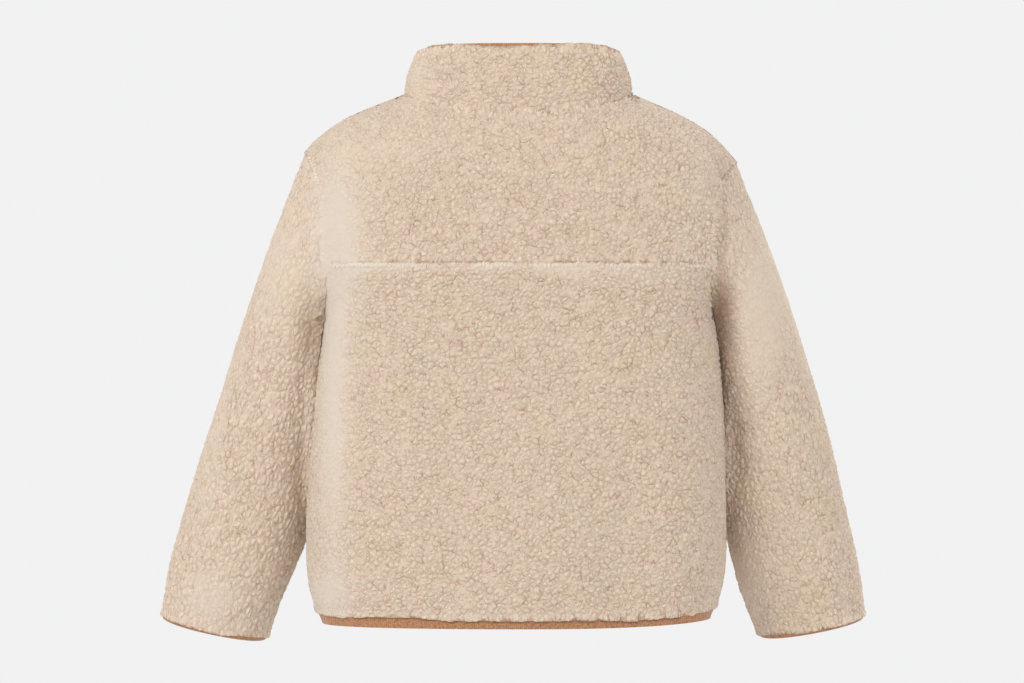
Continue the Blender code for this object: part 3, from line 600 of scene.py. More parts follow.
def makeBinding():
    look = bindingFinish
    material, tree, shader = newMaterial("tanBinding", look["roughness"])
    shader.inputs["Sheen Weight"].default_value = look["sheen"]
    shader.inputs["Specular IOR Level"].default_value = look["specular"]
    places = objectPlaces(tree)
    light, dark = look["light"], look["dark"]
    colour, patches = useTwoTone(tree, places, *look["melange"], light, dark)
    ribs = waveNode(tree, places, look["ribs"])
    setInput(tree, ribs, "Distortion", look["ribWaver"])
    valleys = smoothStep(tree, ribs.outputs["Fac"], 0.0, 0.5, 1.0, 0.0)
    colour = mixColour(tree, times(tree, valleys, look["ribShade"]), colour, dark)
    tree.links.new(colour, shader.inputs["Base Color"])
    height = mathNode(tree, "ADD", patches, cellEdges(tree, places, look["knit"]))
    height = timesPlus(tree, ribs.outputs["Fac"], 0.5, height)
    addBump(tree, shader, height, *look["bump"])
    return material


threadForm = {"roughness": 0.6, "sheen": 0.3, "patches": (0.0005, 0.35, 0.70), "bump": (0.0001, 0.5)}
threadFinishes = {
    "creamThread": ((0.93, 0.86, 0.77, 1.0), (0.84, 0.75, 0.64, 1.0)),
    # dark brown thread, which on the bindings also stands in as painted shade under the pile's edge
    "brownThread": ((0.30, 0.15, 0.08, 1.0), (0.17, 0.08, 0.045, 1.0)),
}


def makeThread(name):
    material, tree, shader = newMaterial(name, threadForm["roughness"])
    shader.inputs["Sheen Weight"].default_value = threadForm["sheen"]
    first, second = threadFinishes[name]
    colour, patches = useTwoTone(tree, objectPlaces(tree), *threadForm["patches"], first, second)
    tree.links.new(colour, shader.inputs["Base Color"])
    addBump(tree, shader, patches, *threadForm["bump"])
    return material


tapeFinish = {
    "first": (0.44, 0.25, 0.14, 1.0),
    "second": (0.30, 0.15, 0.08, 1.0),
    "roughness": 0.8,
    "patches": (0.0010, 0.30, 0.75),
    "weave": 260.0,
    "weaveShade": 0.35,
    "bump": (0.0003, 0.7),
}


def makeTape():
    look = tapeFinish
    material, tree, shader = newMaterial("wovenTape", look["roughness"])
    places = objectPlaces(tree)
    colour = useTwoTone(tree, places, *look["patches"], look["first"], look["second"])[0]
    rows = waveNode(tree, places, look["weave"])
    rows.bands_direction = "Z"
    columns = waveNode(tree, places, look["weave"])
    weave = times(tree, rows.outputs["Fac"], columns.outputs["Fac"])
    colour = mixColour(tree, times(tree, weave, look["weaveShade"]), colour, look["second"])
    tree.links.new(colour, shader.inputs["Base Color"])
    addBump(tree, shader, weave, *look["bump"])
    return material


metalFinish = {
    "bright": (0.66, 0.52, 0.33, 1.0),
    "tarnished": (0.36, 0.26, 0.15, 1.0),
    "patches": (0.0033, 0.40, 0.65),
    "polish": (0.30, 0.70, 0.26, 0.50),
    "grain": 2000.0,
    "bump": (0.00005, 0.5),
}


def makeZipMetal():
    look = metalFinish
    material, tree, shader = newMaterial("antiqueBrass", 0.35, 1.0)
    places = objectPlaces(tree)
    patches = *look["patches"], look["bright"], look["tarnished"]
    colour, tarnish = useTwoTone(tree, places, *patches)
    tree.links.new(colour, shader.inputs["Base Color"])
    tree.links.new(smoothStep(tree, tarnish, *look["polish"]), shader.inputs["Roughness"])
    grain = noiseNode(tree, places, look["grain"], 3.0)
    addBump(tree, shader, grain, *look["bump"])
    return material


twoTone = makeTwoTone()
curlyPile = makeCurlyPile()
fleece = makeFleece()
backing = makeBacking()
binding = makeBinding()
creamThread = makeThread("creamThread")
brownThread = makeThread("brownThread")
tape = makeTape()
zipMetal = makeZipMetal()
print("finishes made")


# ---- the cut of each cloth piece, in metres
bindingPieces = {
    "hem_binding": {"flat": (0.750, 0.0130), "area": 0.0094},
    "collar_binding": {"flat": (0.400, 0.0100), "area": 0.0024},
    "cuff_binding_left": {"flat": (0.210, 0.0100), "area": 0.0017},
    "cuff_binding_right": {"flat": (0.210, 0.0100), "area": 0.0017},
}

# ---- fleece: each cut piece is rounded, divided finely on its outer skin and given its curls
collarPile = {"Seam Depth": 0.0002, "Lap": 0.0030}
cuffPile = {"Seam Depth": 0.0006, "Lap": 0.0028, "Trim Start": 0.0003, "Trim Lap": 0.0016}
sleeveCut = {"cuts": 5, "flat": (0.330, 0.385), "pile": cuffPile}
fleecePieces = {
    "back_lower": {"cuts": 6, "flat": (0.452, 0.282), "area": 0.118},
    "back_yoke": {"cuts": 6, "flat": (0.420, 0.150), "area": 0.050},
    "front_left": {"cuts": 5, "flat": (0.216, 0.420), "area": 0.081},
    "front_right": {"cuts": 5, "flat": (0.216, 0.420), "area": 0.081},
    "collar": {"cuts": 5, "flat": (0.445, 0.058), "area": 0.0235, "pile": collarPile},
    "sleeve_left": {**sleeveCut, "area": 0.098, "turn": -16.0, "stretch": 0.62},
    "sleeve_right": {**sleeveCut, "area": 0.096, "turn": 16.0, "stretch": 0.80},
}
armholes = (-0.160, 0.158)  # the x of the side seams and the armholes above them
combedAndLitSpots = (  # places where the pile is smoothed flat, which on the body's left edge, the right sleeve and the band under the yoke seam also stand in as a painted highlight: x, y side, z, across, up, amount
    (0.194, -1, -0.170, 0.024, 0.065, 1.0),
    (-0.142, -1, -0.115, 0.022, 0.060, 1.0),
    (-0.147, -1, -0.240, 0.013, 0.130, 1.0),
    (-0.150, -1, -0.395, 0.022, 0.020, 0.7),
    (-0.100, -1, -0.045, 0.045, 0.018, 0.25),
    (-0.082, -1, 0.010, 0.012, 0.026, 0.7),
    (-0.192, -1, -0.140, 0.020, 0.060, 0.55),
    (-0.250, -1, -0.405, 0.022, 0.022, 0.7),
    (0.182, -1, -0.385, 0.018, 0.032, 0.8),
    (0.080, -1, -0.140, 0.060, 0.008, 0.5),
    (-0.112, -1, -0.1370, 0.040, 0.0042, 0.9),
    (-0.022, -1, -0.1370, 0.020, 0.0036, 0.7),
    (0.030, -1, -0.1370, 0.018, 0.0036, 0.7),
    (0.147, -1, -0.070, 0.010, 0.030, 0.4),
    (-0.120, 1, -0.120, 0.026, 0.050, 0.8),
    (0.130, 1, -0.240, 0.020, 0.080, 0.7),
    (-0.060, 1, -0.340, 0.030, 0.050, 0.4),
    (0.210, 1, -0.200, 0.024, 0.070, 0.7),
    (-0.230, 1, -0.300, 0.024, 0.080, 0.6),
)
paintedHighlightSpots = (  # painted highlight, paler still than the smoothed pile, mostly along the body's left edge and the band under the yoke seam; set out the same way
    (-0.144, -1, -0.115, 0.025, 0.080, 1.0),
    (-0.147, -1, -0.240, 0.020, 0.150, 1.0),
    (-0.150, -1, -0.395, 0.030, 0.030, 1.0),
    (-0.022, -1, -0.137, 0.110, 0.008, 1.0),
    (-0.250, -1, -0.405, 0.030, 0.030, 0.7),
    (-0.120, 1, -0.120, 0.030, 0.060, 0.8),
)
coveredTrims = (  # where the pile hides the binding or closes a seam, set out the same way
    (-0.080, -1, 0.035, 0.030, 0.020, 2.2),
    (0.066, -1, 0.035, 0.032, 0.020, 2.2),
    (0.000, -1, -0.020, 0.090, 0.016, 1.6, "back_yoke"),
    (0.000, -1, -0.020, 0.090, 0.016, 1.6, "collar"),
    (0.000, 1, -0.030, 0.090, 0.030, 2.0, "front"),
    (0.000, 1, -0.032, 0.090, 0.024, 2.0, "collar"),
    *((x, -1, -0.115, 0.014, 0.055, 2.4) for x in armholes),
    *((x, 1, -0.100, 0.016, 0.060, 1.6) for x in armholes),
    *((x, -1, -0.410, 0.010, 0.020, 1.4) for x in armholes),
    (0.088, -1, -0.412, 0.018, 0.020, 1.2),
    (-0.243, -1, -0.425, 0.013, 0.030, 1.2),
    (-0.196, -1, -0.430, 0.006, 0.030, 1.2),
    (0.240, -1, -0.425, 0.010, 0.030, 0.7),
    (0.188, -1, -0.430, 0.008, 0.020, 1.6),
)
bareTrims = (  # where the pile stands back from the binding
    (-0.010, -1, 0.035, 0.027, 0.020, 0.8),
    (-0.100, -1, -0.412, 0.030, 0.020, 0.9),
    (-0.217, -1, -0.430, 0.012, 0.030, 1.1),
    (0.208, -1, -0.430, 0.010, 0.030, 1.0),
    (0.095, -1, -0.412, 0.030, 0.020, -0.5),
)
plumpSeams = (  # seams that the pile closes over
    (0.000, -1, -0.020, 0.090, 0.016, 0.5, "back_yoke"),
    (0.000, 1, -0.030, 0.090, 0.030, 0.6, "front"),
    *((x, 1, -0.100, 0.014, 0.060, 0.8) for x in armholes),
    (-0.160, -1, -0.090, 0.012, 0.040, 1.2, "back_yoke"),
    (0.158, -1, -0.090, 0.012, 0.040, 0.6, "back_yoke"),
    *((x, -1, -0.155, 0.012, 0.026, 0.8, "back_lower") for x in armholes),
    (-0.160, -1, -0.105, 0.012, 0.065, 1.2, "sleeve_left"),
    (0.158, -1, -0.105, 0.012, 0.060, 0.8, "sleeve_right"),
)
snugSeams = (  # outer corners of the body and the collar, where two borders only meet
    *((x, side, -0.024, 0.040, 0.013, 2.0) for x in (-0.130, 0.130) for side in (-1, 1)),
    (-0.0910, 0, -0.003, 0.011, 0.010, 1.8, "collar"),
    (0.0905, 0, -0.003, 0.011, 0.010, 1.8, "collar"),
    (-0.166, -1, -0.045, 0.010, 0.012, 1.5),
    (0.164, -1, -0.045, 0.010, 0.012, 1.5),
    *((x, side, -0.315, 0.018, 0.085, 2.8) for x in armholes for side in (-1, 1)),
)
paintedFoldShade = (  # painted shade where the sleeves lie in the body's shadow and along the right armhole crease; side 0 is both sides
    (-0.163, 0, -0.193, 0.011, 0.032, 0.42, "sleeve"),
    (0.1635, 0, -0.166, 0.0070, 0.022, 0.62, "sleeve"),
    (0.1600, 0, -0.200, 0.0085, 0.026, 0.80, "sleeve"),
    (0.1635, 0, -0.240, 0.0055, 0.030, 0.60, "sleeve"),
    (0.163, -1, -0.110, 0.0035, 0.040, 0.22),
)
spotTables = {
    "brushed": combedAndLitSpots,
    "pale": paintedHighlightSpots,
    "covered": coveredTrims,
    "bare": bareTrims,
    "snug": snugSeams,
    "plump": plumpSeams,
    "shaded": paintedFoldShade,
}
softTroughs = (  # folds of the cloth: piece, from x, z, to x, z, reach, depth, way it is pushed
    ("sleeve_right", 0.158, -0.200, 0.162, -0.300, 0.030, 0.010, 1.0),
    ("sleeve_right", 0.212, -0.235, 0.246, -0.262, 0.018, 0.0030, 1.0),
    ("sleeve_right", 0.190, -0.300, 0.226, -0.330, 0.016, 0.0025, 1.0),
    ("sleeve_left", -0.200, -0.232, -0.236, -0.252, 0.018, 0.0028, 1.0),
    ("sleeve_left", -0.196, -0.330, -0.232, -0.312, 0.016, 0.0022, 1.0),
    ("sleeve_left", -0.205, -0.215, -0.180, -0.250, 0.018, 0.0040, -1.0),
    ("sleeve_right", 0.205, -0.225, 0.182, -0.262, 0.018, 0.0035, -1.0),
    ("sleeve_left", -0.236, -0.290, -0.200, -0.318, 0.016, 0.0030, -1.0),
    ("back_lower", -0.042, -0.275, -0.036, -0.430, 0.046, 0.0040, 1.0),
    ("back_lower", 0.086, -0.300, 0.096, -0.430, 0.040, 0.0028, 1.0),
    ("back_lower", -0.118, -0.250, -0.108, -0.380, 0.030, 0.0020, 1.0),
    ("back_lower", 0.020, -0.160, 0.040, -0.240, 0.040, 0.0018, 1.0),
    ("front_left", -0.070, -0.230, -0.058, -0.430, 0.036, 0.0040, -1.0),
    ("front_left", -0.120, -0.150, -0.098, -0.250, 0.024, 0.0025, -1.0),
    ("front_right", 0.082, -0.260, 0.068, -0.430, 0.034, 0.0035, -1.0),
    ("front_right", 0.124, -0.140, 0.104, -0.230, 0.024, 0.0025, -1.0),
)


def smoothAmount(values):
    held = np.clip(values, 0.0, 1.0)
    return held * held * (3.0 - 2.0 * held)


def middleDepth(piece, places):
    # a sleeve has its own front and back, and the other pieces share the body's
    return (places[:, 1].min() + places[:, 1].max()) / 2 if piece.name.startswith("sleeve") else 0.0


def pressTroughs(piece, nodeName):
    places = vertexPlaces(piece.data)
    middle = middleDepth(piece, places)
    aboveHem = smoothAmount((places[:, 2] - places[:, 2].min() - 0.002) / 0.022)
    for owner, x0, z0, x1, z1, reach, depth, push in softTroughs:
        if owner != nodeName:
            continue
        run = np.array([x1 - x0, z1 - z0])
        offset = places[:, [0, 2]] - np.array([x0, z0])
        along = np.clip(offset @ run / (run @ run), 0.0, 1.0)
        away = np.linalg.norm(offset - along[:, None] * run, axis=1)
        share = smoothAmount(1.0 - away / reach) * (0.45 + 0.55 * np.sin(np.pi * (0.15 + 0.7 * along)))
        share *= smoothAmount((middle - places[:, 1]) * push / 0.024) * aboveHem
        places[:, 1] += share * depth * push
    setPlaces(piece, places)


flatBeside = {  # each sleeve lies flat where the body hides its edge: heights, and depths there
    "heights": (-0.360, -0.300, -0.250, -0.200, -0.160),
    "sleeve_left": (0.014, 0.001, -0.011, -0.022, -0.030),
    "sleeve_right": (0.016, 0.004, -0.006, -0.016, -0.024),
    "from": 0.178,
    "to": 0.166,
    "bend": {"sleeve_left": 0.12, "sleeve_right": 0.50},
    "front": 0.056,  # the sleeve's front, beyond this depth, stays as it is
    "foot": -0.360,
    "head": -0.163,
    "tuckHeights": (-0.200, -0.165),
    "tuck": (0.006, 0.0042),
    "tuckFrom": 0.170,
    "tuckHead": -0.110,
}


def layFlat(piece, nodeName):
    places = vertexPlaces(piece.data)
    x, y, z = np.abs(places[:, 0]), places[:, 1], places[:, 2]
    depth = np.interp(z, flatBeside["heights"], flatBeside[nodeName])
    share = smoothAmount((x - flatBeside["from"]) / (flatBeside["to"] - flatBeside["from"]))
    behind = smoothAmount((flatBeside["front"] - y) / 0.012)
    aboveFoot = smoothAmount((z - flatBeside["foot"]) / 0.050)
    share *= behind
    share *= aboveFoot * smoothAmount((flatBeside["head"] - z) / 0.034)
    # the edge is tucked into the body's side, and the seam above it is closed the same way
    tuck = np.interp(z, flatBeside["tuckHeights"], flatBeside["tuck"])
    tuck *= smoothAmount((flatBeside["tuckFrom"] - x) / 0.010)
    tuck *= aboveFoot * smoothAmount((flatBeside["tuckHead"] - z) / 0.020) * behind
    places[:, 1] -= share * (1.0 - flatBeside["bend"][nodeName]) * np.maximum(y - depth, 0.0)
    places[:, 0] -= np.sign(places[:, 0]) * tuck
    setPlaces(piece, places)


def spreadOutside(piece):
    # the mark is on faces until the skin is divided, and then on points
    mesh = piece.data
    count = len(mesh.polygons)
    onFace = np.empty(count, np.float32)
    mesh.attributes["outside"].data.foreach_get("value", onFace)
    starts = np.empty(count, np.int32)
    mesh.polygons.foreach_get("loop_total", starts)
    corners = np.empty(len(mesh.loops), np.int32)
    mesh.loops.foreach_get("vertex_index", corners)
    onPoint = np.zeros(len(mesh.vertices), np.float32)
    onPoint[corners[np.repeat(onFace > 0.5, starts)]] = 1.0
    mesh.attributes.remove(mesh.attributes["outside"])
    markPoints(mesh, "outside", onPoint)
    rimFace = np.empty(count, bool)
    mesh.attributes["rim"].data.foreach_get("value", rimFace)
    onRim = np.zeros(len(mesh.vertices), np.float32)
    onRim[corners[np.repeat(rimFace, starts)]] = 1.0
    markPoints(mesh, "onRim", onRim)
    # which way the skin faces, without the pull of the cut edges beside it
    facing = np.empty(count * 3, np.float32)
    mesh.polygons.foreach_get("normal", facing)
    facing = facing.reshape(-1, 3) * (onFace > 0.5)[:, None]
    facing = np.repeat(facing, starts, axis=0)
    sums = [np.bincount(corners, facing[:, axis], len(mesh.vertices)) for axis in range(3)]
    out = np.stack(sums, axis=1)
    out /= np.maximum(np.linalg.norm(out, axis=1), 0.000001)[:, None]
    way = mesh.attributes.new("skinWay", "FLOAT_VECTOR", "POINT")
    way.data.foreach_set("vector", out.astype(np.float32).ravel())


def markSides(piece):
    skin = skinOfFaces(piece)
    mesh = piece.data
    outside = mesh.attributes.new("outside", "FLOAT", "FACE")
    outside.data.foreach_set("value", (skin == 0).astype(np.float32))
    rim = mesh.attributes.new("rim", "BOOLEAN", "FACE")
    rim.data.foreach_set("value", skin == 2)
    mesh.polygons.foreach_set("material_index", (skin == 1).astype(np.int32))
    mesh.polygons.foreach_set("select", skin == 0)
    mesh.update()


trimReach = {"near": 0.006, "full": 1.6}


def markTrimEdges(piece):
    # the pile laps over the bindings, so it is told where they are
    places = vertexPlaces(piece.data)
    trim = np.zeros(len(places))
    for nodeName in bindingPieces:
        bound = vertexPlaces(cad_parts[nodeName].data)
        tree = kdtree.KDTree(len(bound))
        for number, place in enumerate(bound):
            tree.insert(place, number)
        tree.balance()
        low, high = bound.min(axis=0) - trimReach["near"], bound.max(axis=0) + trimReach["near"]
        near = np.flatnonzero(((places > low) & (places < high)).all(axis=1))
        for number in near:
            away = tree.find(places[number])[2]
            share = float(np.clip(trimReach["full"] - away / trimReach["near"], 0.0, 1.0))
            trim[number] = max(trim[number], share)
    markPoints(piece.data, "trim", trim)


def divideSelected(piece, cuts):
    selectOnly(piece)
    bpy.ops.object.mode_set(mode="EDIT")
    bpy.ops.mesh.select_mode(type="FACE")
    bpy.ops.mesh.subdivide(number_cuts=cuts)
    bpy.ops.mesh.select_mode(type="VERT")
    bpy.ops.object.mode_set(mode="OBJECT")


def markSpots(piece, name, spots):
    places = vertexPlaces(piece.data)
    middle = middleDepth(piece, places)
    amount = np.zeros(len(places))
    for x, side, z, across, up, strength, *only in spots:
        if only and not piece.name.startswith(only[0]):
            continue
        away = ((places[:, 0] - x) / across) ** 2 + ((places[:, 2] - z) / up) ** 2
        facing = smoothAmount(((places[:, 1] - middle) * side + 0.024) / 0.012)
        amount += strength * np.exp(-away) * facing
    markPoints(piece.data, name, np.minimum(amount, 1.0))


def growCurls(piece, settings):
    selectOnly(piece)
    bpy.ops.object.modifier_add(type="NODES")
    modifier = piece.modifiers[-1]
    modifier.node_group = curlyPile
    turn, stretch = math.radians(settings.get("turn", 0.0)), settings.get("stretch", 1.0)
    values = {**pileSettings, "Turn": turn, "Stretch": stretch, **settings.get("pile", {})}
    for socket in curlyPile.interface.items_tree:
        if socket.name in values:
            modifier[socket.identifier] = values[socket.name]
    bpy.ops.object.modifier_apply(modifier=modifier.name)


for nodeName, settings in fleecePieces.items():
    piece = cleanCopy(nodeName, nodeName + "_fleece")
    piece.data.materials.append(fleece)
    piece.data.materials.append(backing)
    applyModifier(piece, "SUBSURF", levels=1, render_levels=1)
    markSides(piece)
    divideSelected(piece, settings["cuts"])
    spreadOutside(piece)
    for name, spots in spotTables.items():
        markSpots(piece, name, spots)
    markTrimEdges(piece)
    pressTroughs(piece, nodeName)
    if nodeName in flatBeside:
        layFlat(piece, nodeName)
    growCurls(piece, settings)
    shadeSmooth(piece, 60.0)
    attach(piece, "jacket")
    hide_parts(nodeName)
    print(piece.name, len(piece.data.polygons), "faces")


# ---- tan knit bindings
for nodeName, settings in bindingPieces.items():
    piece = cleanCopy(nodeName, nodeName + "_knit")
    piece.data.materials.append(binding)
    applyModifier(piece, "SUBSURF", levels=2, render_levels=2)
    shadeSmooth(piece, 60.0)
    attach(piece, "jacket")
    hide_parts(nodeName)
    print(piece.name, len(piece.data.polygons), "faces")


for nodeName in ("zip_tape_left", "zip_tape_right"):
    piece = cleanCopy(nodeName, nodeName + "_woven")
    piece.data.materials.append(tape)
    applyModifier(piece, "SUBSURF", levels=1, render_levels=1)
    shadeSmooth(piece, 50.0)
    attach(piece, "jacket")
    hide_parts(nodeName)
for nodeName in ("zip_slider", "zip_stop_left", "zip_stop_right", "zip_box", "pull_tab"):
    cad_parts[nodeName].data.materials.clear()
    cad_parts[nodeName].data.materials.append(zipMetal)


# ---- small things, each modelled once and set out along a path
def joinCopies(name, model, settings):
    # settings are rows of place, turn and size for each copy
    unit = vertexPlaces(model.data)
    faces = [tuple(face.vertices) for face in model.data.polygons]
    points, polygons = [], []
    for place, turn, size in settings:
        spin = np.array(Euler(turn).to_matrix())
        first = len(points) * len(unit)
        points.append((unit * np.array(size)) @ spin.T + np.array(place))
        polygons += [tuple(corner + first for corner in face) for face in faces]
    mesh = bpy.data.meshes.new(name)
    mesh.from_pydata(np.vstack(points).tolist(), [], polygons)
    piece = bpy.data.objects.new(name, mesh)
    bpy.context.scene.collection.objects.link(piece)
    shadeSmooth(piece, 50.0)
    bpy.data.objects.remove(model)
    return piece


stitchBow = 1.2


def modelStitch():
    # a plump thread along Z, its ends drawn down into the cloth, towards +Y
    bpy.ops.object.select_all(action="DESELECT")
    bpy.ops.mesh.primitive_uv_sphere_add(segments=6, ring_count=6, radius=0.5)
    stitch = bpy.context.object
    places = vertexPlaces(stitch.data)
    places[:, 1] += stitchBow * (2.0 * places[:, 2]) ** 2
    setPlaces(stitch, places)
    return stitch


def surfacePlace(pieces, x, z, side):
    # the point of the cloth that is seen from the back (side -1) or the front (side 1)
    found = None
    start, way = Vector((x, side * 0.30, z)), Vector((0.0, -side, 0.0))
    for piece in pieces:
        hit, place, normal, face = piece.ray_cast(start, way)
        if hit and (found is None or place.y * side > found * side):
            found = place.y
    return found


edgeSteps = {"facing": 0.01, "step": 0.004, "near": 0.0022}


def pileEdge(piece, fromX, toX, above, side, below):
    # a path just under the lower edge of a fleece piece, as ragged as the edge itself
    places = vertexPlaces(piece.data)
    middle = (places[:, 1].min() + places[:, 1].max()) / 2
    facing = (places[:, 1] - middle) * side > edgeSteps["facing"]
    places = places[facing & (places[:, 2] < above)]
    steps = max(2, round((toX - fromX) / edgeSteps["step"]))
    path = []
    for x in np.linspace(fromX, toX, steps):
        near = places[np.abs(places[:, 0] - x) < edgeSteps["near"], 2]
        if len(near):
            path.append((float(x), float(near.min()) - below))
    return path


randomPlaces = np.random.default_rng(11)
stitchWander = {"x": 0.00012, "z": 0.00035, "turn": 0.10, "length": 0.12}


def seamStitches(pieces, path, settings):
    # a ladder of stitches across a path of x, z points, each sunk or raised by the patch it lies in
    rows = []
    side, pitch, length = settings["side"], settings["pitch"], settings["length"]
    for (x0, z0), (x1, z1) in zip(path[:-1], path[1:]):
        run = math.hypot(x1 - x0, z1 - z0)
        lean = math.atan2(z1 - z0, x1 - x0)
        for number in range(round(run / pitch)):
            share = (number + 0.5) / round(run / pitch)
            x, z = x0 + share * (x1 - x0), z0 + share * (z1 - z0)
            wander = randomPlaces.uniform(-1.0, 1.0, 4)
            x, z = x + stitchWander["x"] * wander[0], z + stitchWander["z"] * wander[1]
            y = surfacePlace(pieces, x, z, side)
            if y is None:
                continue
            shown = any(low < x < high for low, high in settings["shown"])
            y += side * (settings["proud"] if shown else -settings["hidden"])
            turn = (0.0, -lean + stitchWander["turn"] * wander[2], 0.0 if side < 0 else math.pi)
            long = length * (1.0 + stitchWander["length"] * wander[3])
            rows.append(((x, y, z), turn, (settings["thick"], settings["thick"], long)))
    return rows


# ---- sewing
fleeceAround = [bpy.data.objects[nodeName + "_fleece"] for nodeName in fleecePieces]
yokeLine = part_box("back_lower")[1][2]
yokeFleece = bpy.data.objects["back_yoke_fleece"]
yokeSewing = {
    "side": -1,
    "pitch": 0.00104,
    "length": 0.0038,
    "thick": 0.00062,
    "proud": 0.00045,
    "hidden": 0.0016,
    "shown": ((-0.146, -0.072), (-0.034, -0.004), (0.012, 0.046), (0.068, 0.096), (0.135, 0.153)),
    "below": 0.0014,
}
armholeSewing = {
    "side": -1,
    "pitch": 0.00105,
    "length": 0.0034,
    "thick": 0.00060,
    "proud": 0.0007,
    "hidden": 0.0016,
    "shown": ((-0.30, 0.30),),
}
frontSewing = {**armholeSewing, "side": 1}
armholePaths = {
    "back": ((-0.1672, -0.0480), (-0.1618, -0.0580), (-0.1582, -0.0712)),
    "front": ((0.1640, -0.0520), (0.1600, -0.0620), (0.1565, -0.0740)),
}

bpy.context.view_layer.update()
yokePath = pileEdge(yokeFleece, -0.150, 0.153, yokeLine + 0.004, -1, yokeSewing["below"])
stitchRows = seamStitches(fleeceAround, yokePath, yokeSewing)
stitchRows += seamStitches(fleeceAround, armholePaths["back"], armholeSewing)
stitchRows += seamStitches(fleeceAround, armholePaths["front"], frontSewing)
sewing = joinCopies("seam_stitches", modelStitch(), stitchRows)
sewing.data.materials.append(creamThread)
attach(sewing, "jacket")
print("seam stitches", len(stitchRows))

# dark brown stitches just under the pile's lower edge on each binding: thread, and also painted shade
# where the pile overhangs the binding
hemSewingAndShade = {
    "pitch": 0.0015,
    "length": 0.0022,
    "thick": 0.00070,
    "proud": 0.0002,
    "hidden": 0.0,
    "shown": ((-0.30, 0.30),),
    "below": 0.0006,
}
stitchRows = []
for nodeName, bindingName, side, fromX, toX in (
    ("back_lower", "hem_binding", -1, -0.150, 0.148),
    ("front_left", "hem_binding", 1, -0.148, -0.014),
    ("front_right", "hem_binding", 1, 0.014, 0.146),
    ("sleeve_left", "cuff_binding_left", -1, -0.266, -0.204),
    ("sleeve_left", "cuff_binding_left", 1, -0.266, -0.204),
    ("sleeve_right", "cuff_binding_right", -1, 0.196, 0.260),
    ("sleeve_right", "cuff_binding_right", 1, 0.196, 0.260),
):
    edgePiece = bpy.data.objects[nodeName + "_fleece"]
    knit = [bpy.data.objects[bindingName + "_knit"]]
    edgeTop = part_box(bindingName)[1][2]
    edgePath = pileEdge(edgePiece, fromX, toX, edgeTop, side, hemSewingAndShade["below"])
    stitchRows += seamStitches(knit, edgePath, {**hemSewingAndShade, "side": side})
bindingStitchesAndShade = joinCopies("binding_stitches", modelStitch(), stitchRows)
bindingStitchesAndShade.data.materials.append(brownThread)
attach(bindingStitchesAndShade, "jacket")
print("binding stitches", len(stitchRows))


# ---- zip teeth, closed from the box to the slider
toothSettings = {
    "pitch": 0.0027,
    "wide": 0.0030,
    "deep": 0.0019,
    "high": 0.0013,
    "bevel": 0.00022,
    "nose": 0.55,
    "aside": 0.0008,
    "proud": 0.0002,
    "onTape": 0.003,
    "firstUp": 0.003,
    "lastDown": 0.004,
    "leanOver": 0.002,
}


def modelTooth():
    # a block with a narrow nose that locks between the two teeth opposite
    bpy.ops.object.select_all(action="DESELECT")
    bpy.ops.mesh.primitive_cube_add(size=1.0)
    tooth = bpy.context.object
    tooth.scale = (toothSettings["wide"], toothSettings["deep"], toothSettings["high"])
    bpy.ops.object.transform_apply(location=True, rotation=True, scale=True)
    places = vertexPlaces(tooth.data)
    places[places[:, 0] > 0.0, 2] *= toothSettings["nose"]
    setPlaces(tooth, places)
    applyModifier(tooth, "BEVEL", width=toothSettings["bevel"], segments=2)
    return tooth


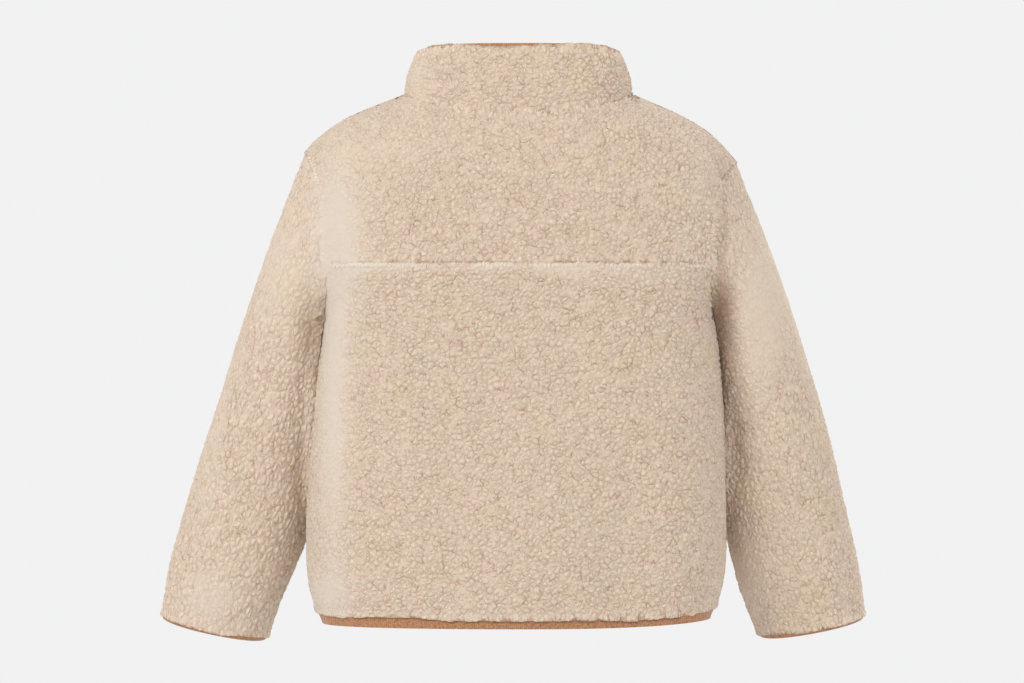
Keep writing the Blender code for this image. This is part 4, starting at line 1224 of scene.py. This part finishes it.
tapes = [bpy.data.objects["zip_tape_left_woven"], bpy.data.objects["zip_tape_right_woven"]]
tapeLow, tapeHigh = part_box("zip_tape_left")[0][2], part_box("zip_slider")[0][2]
bpy.context.view_layer.update()
toothRows = []
pitch, leanOver = toothSettings["pitch"], toothSettings["leanOver"]
for number in range(int((tapeHigh - tapeLow - toothSettings["lastDown"]) / pitch)):
    for side in (-1, 1):
        z = tapeLow + toothSettings["firstUp"] + (number + (0.5 if side > 0 else 0.0)) * pitch
        low = surfacePlace(tapes, side * toothSettings["onTape"], z - leanOver, 1)
        high = surfacePlace(tapes, side * toothSettings["onTape"], z + leanOver, 1)
        if low is None or high is None:
            continue
        lean = math.atan2(high - low, 2 * leanOver)
        turn = (-lean, 0.0, 0.0) if side < 0 else (lean, 0.0, math.pi)
        place = (side * toothSettings["aside"], (low + high) / 2 + toothSettings["proud"], z)
        toothRows.append((place, turn, (1.0, 1.0, 1.0)))
teeth = joinCopies("zip_teeth", modelTooth(), toothRows)
teeth.data.materials.append(zipMetal)
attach(teeth, "jacket")
print("zip teeth", len(toothRows))


# ---- floor and soft studio light
studioSettings = {
    "floorDrop": 0.30,
    "floorRadius": 2.2,
    "floorColour": (0.71, 0.71, 0.715, 1.0),
    "worldColour": (0.885, 0.885, 0.89, 1.0),
    "worldStrength": 1.0,
    "aim": (0.0, 0.0, -0.2),
}

floorZ = cadBox[0][2] - studioSettings["floorDrop"]
bpy.ops.object.select_all(action="DESELECT")
bpy.ops.mesh.primitive_circle_add(
    vertices=96, radius=studioSettings["floorRadius"], fill_type="NGON", location=(0.0, 0.0, floorZ)
)
floor = bpy.context.object
floor.name = "floor"
bpy.ops.object.transform_apply(location=True, rotation=True, scale=True)
floorMaterial, floorTree, floorShader = newMaterial("paleFloor", 0.9)
floorShader.inputs["Base Color"].default_value = studioSettings["floorColour"]
floor.data.materials.append(floorMaterial)

world = bpy.data.worlds.new("studio")
bpy.context.scene.world = world
world.use_nodes = True
background = world.node_tree.nodes["Background"]
background.inputs["Color"].default_value = studioSettings["worldColour"]
background.inputs["Strength"].default_value = studioSettings["worldStrength"]

lights = {
    "key": {"place": (-2.4, -2.2, 1.3), "size": 1.5, "power": 46.0},
    "fill": {"place": (2.2, -2.6, 0.6), "size": 2.2, "power": 20.0},
    "rear": {"place": (1.6, 2.6, 1.4), "size": 2.0, "power": 45.0},
}
for name, settings in lights.items():
    bpy.ops.object.light_add(type="AREA", location=settings["place"])
    lamp = bpy.context.object
    lamp.name = name
    lamp.data.size = settings["size"]
    lamp.data.energy = settings["power"]
    toJacket = Vector(studioSettings["aim"]) - lamp.location
    lamp.rotation_euler = toJacket.to_track_quat("-Z", "Y").to_euler()

bpy.context.scene.view_settings.view_transform = "Standard"

print("studio set")
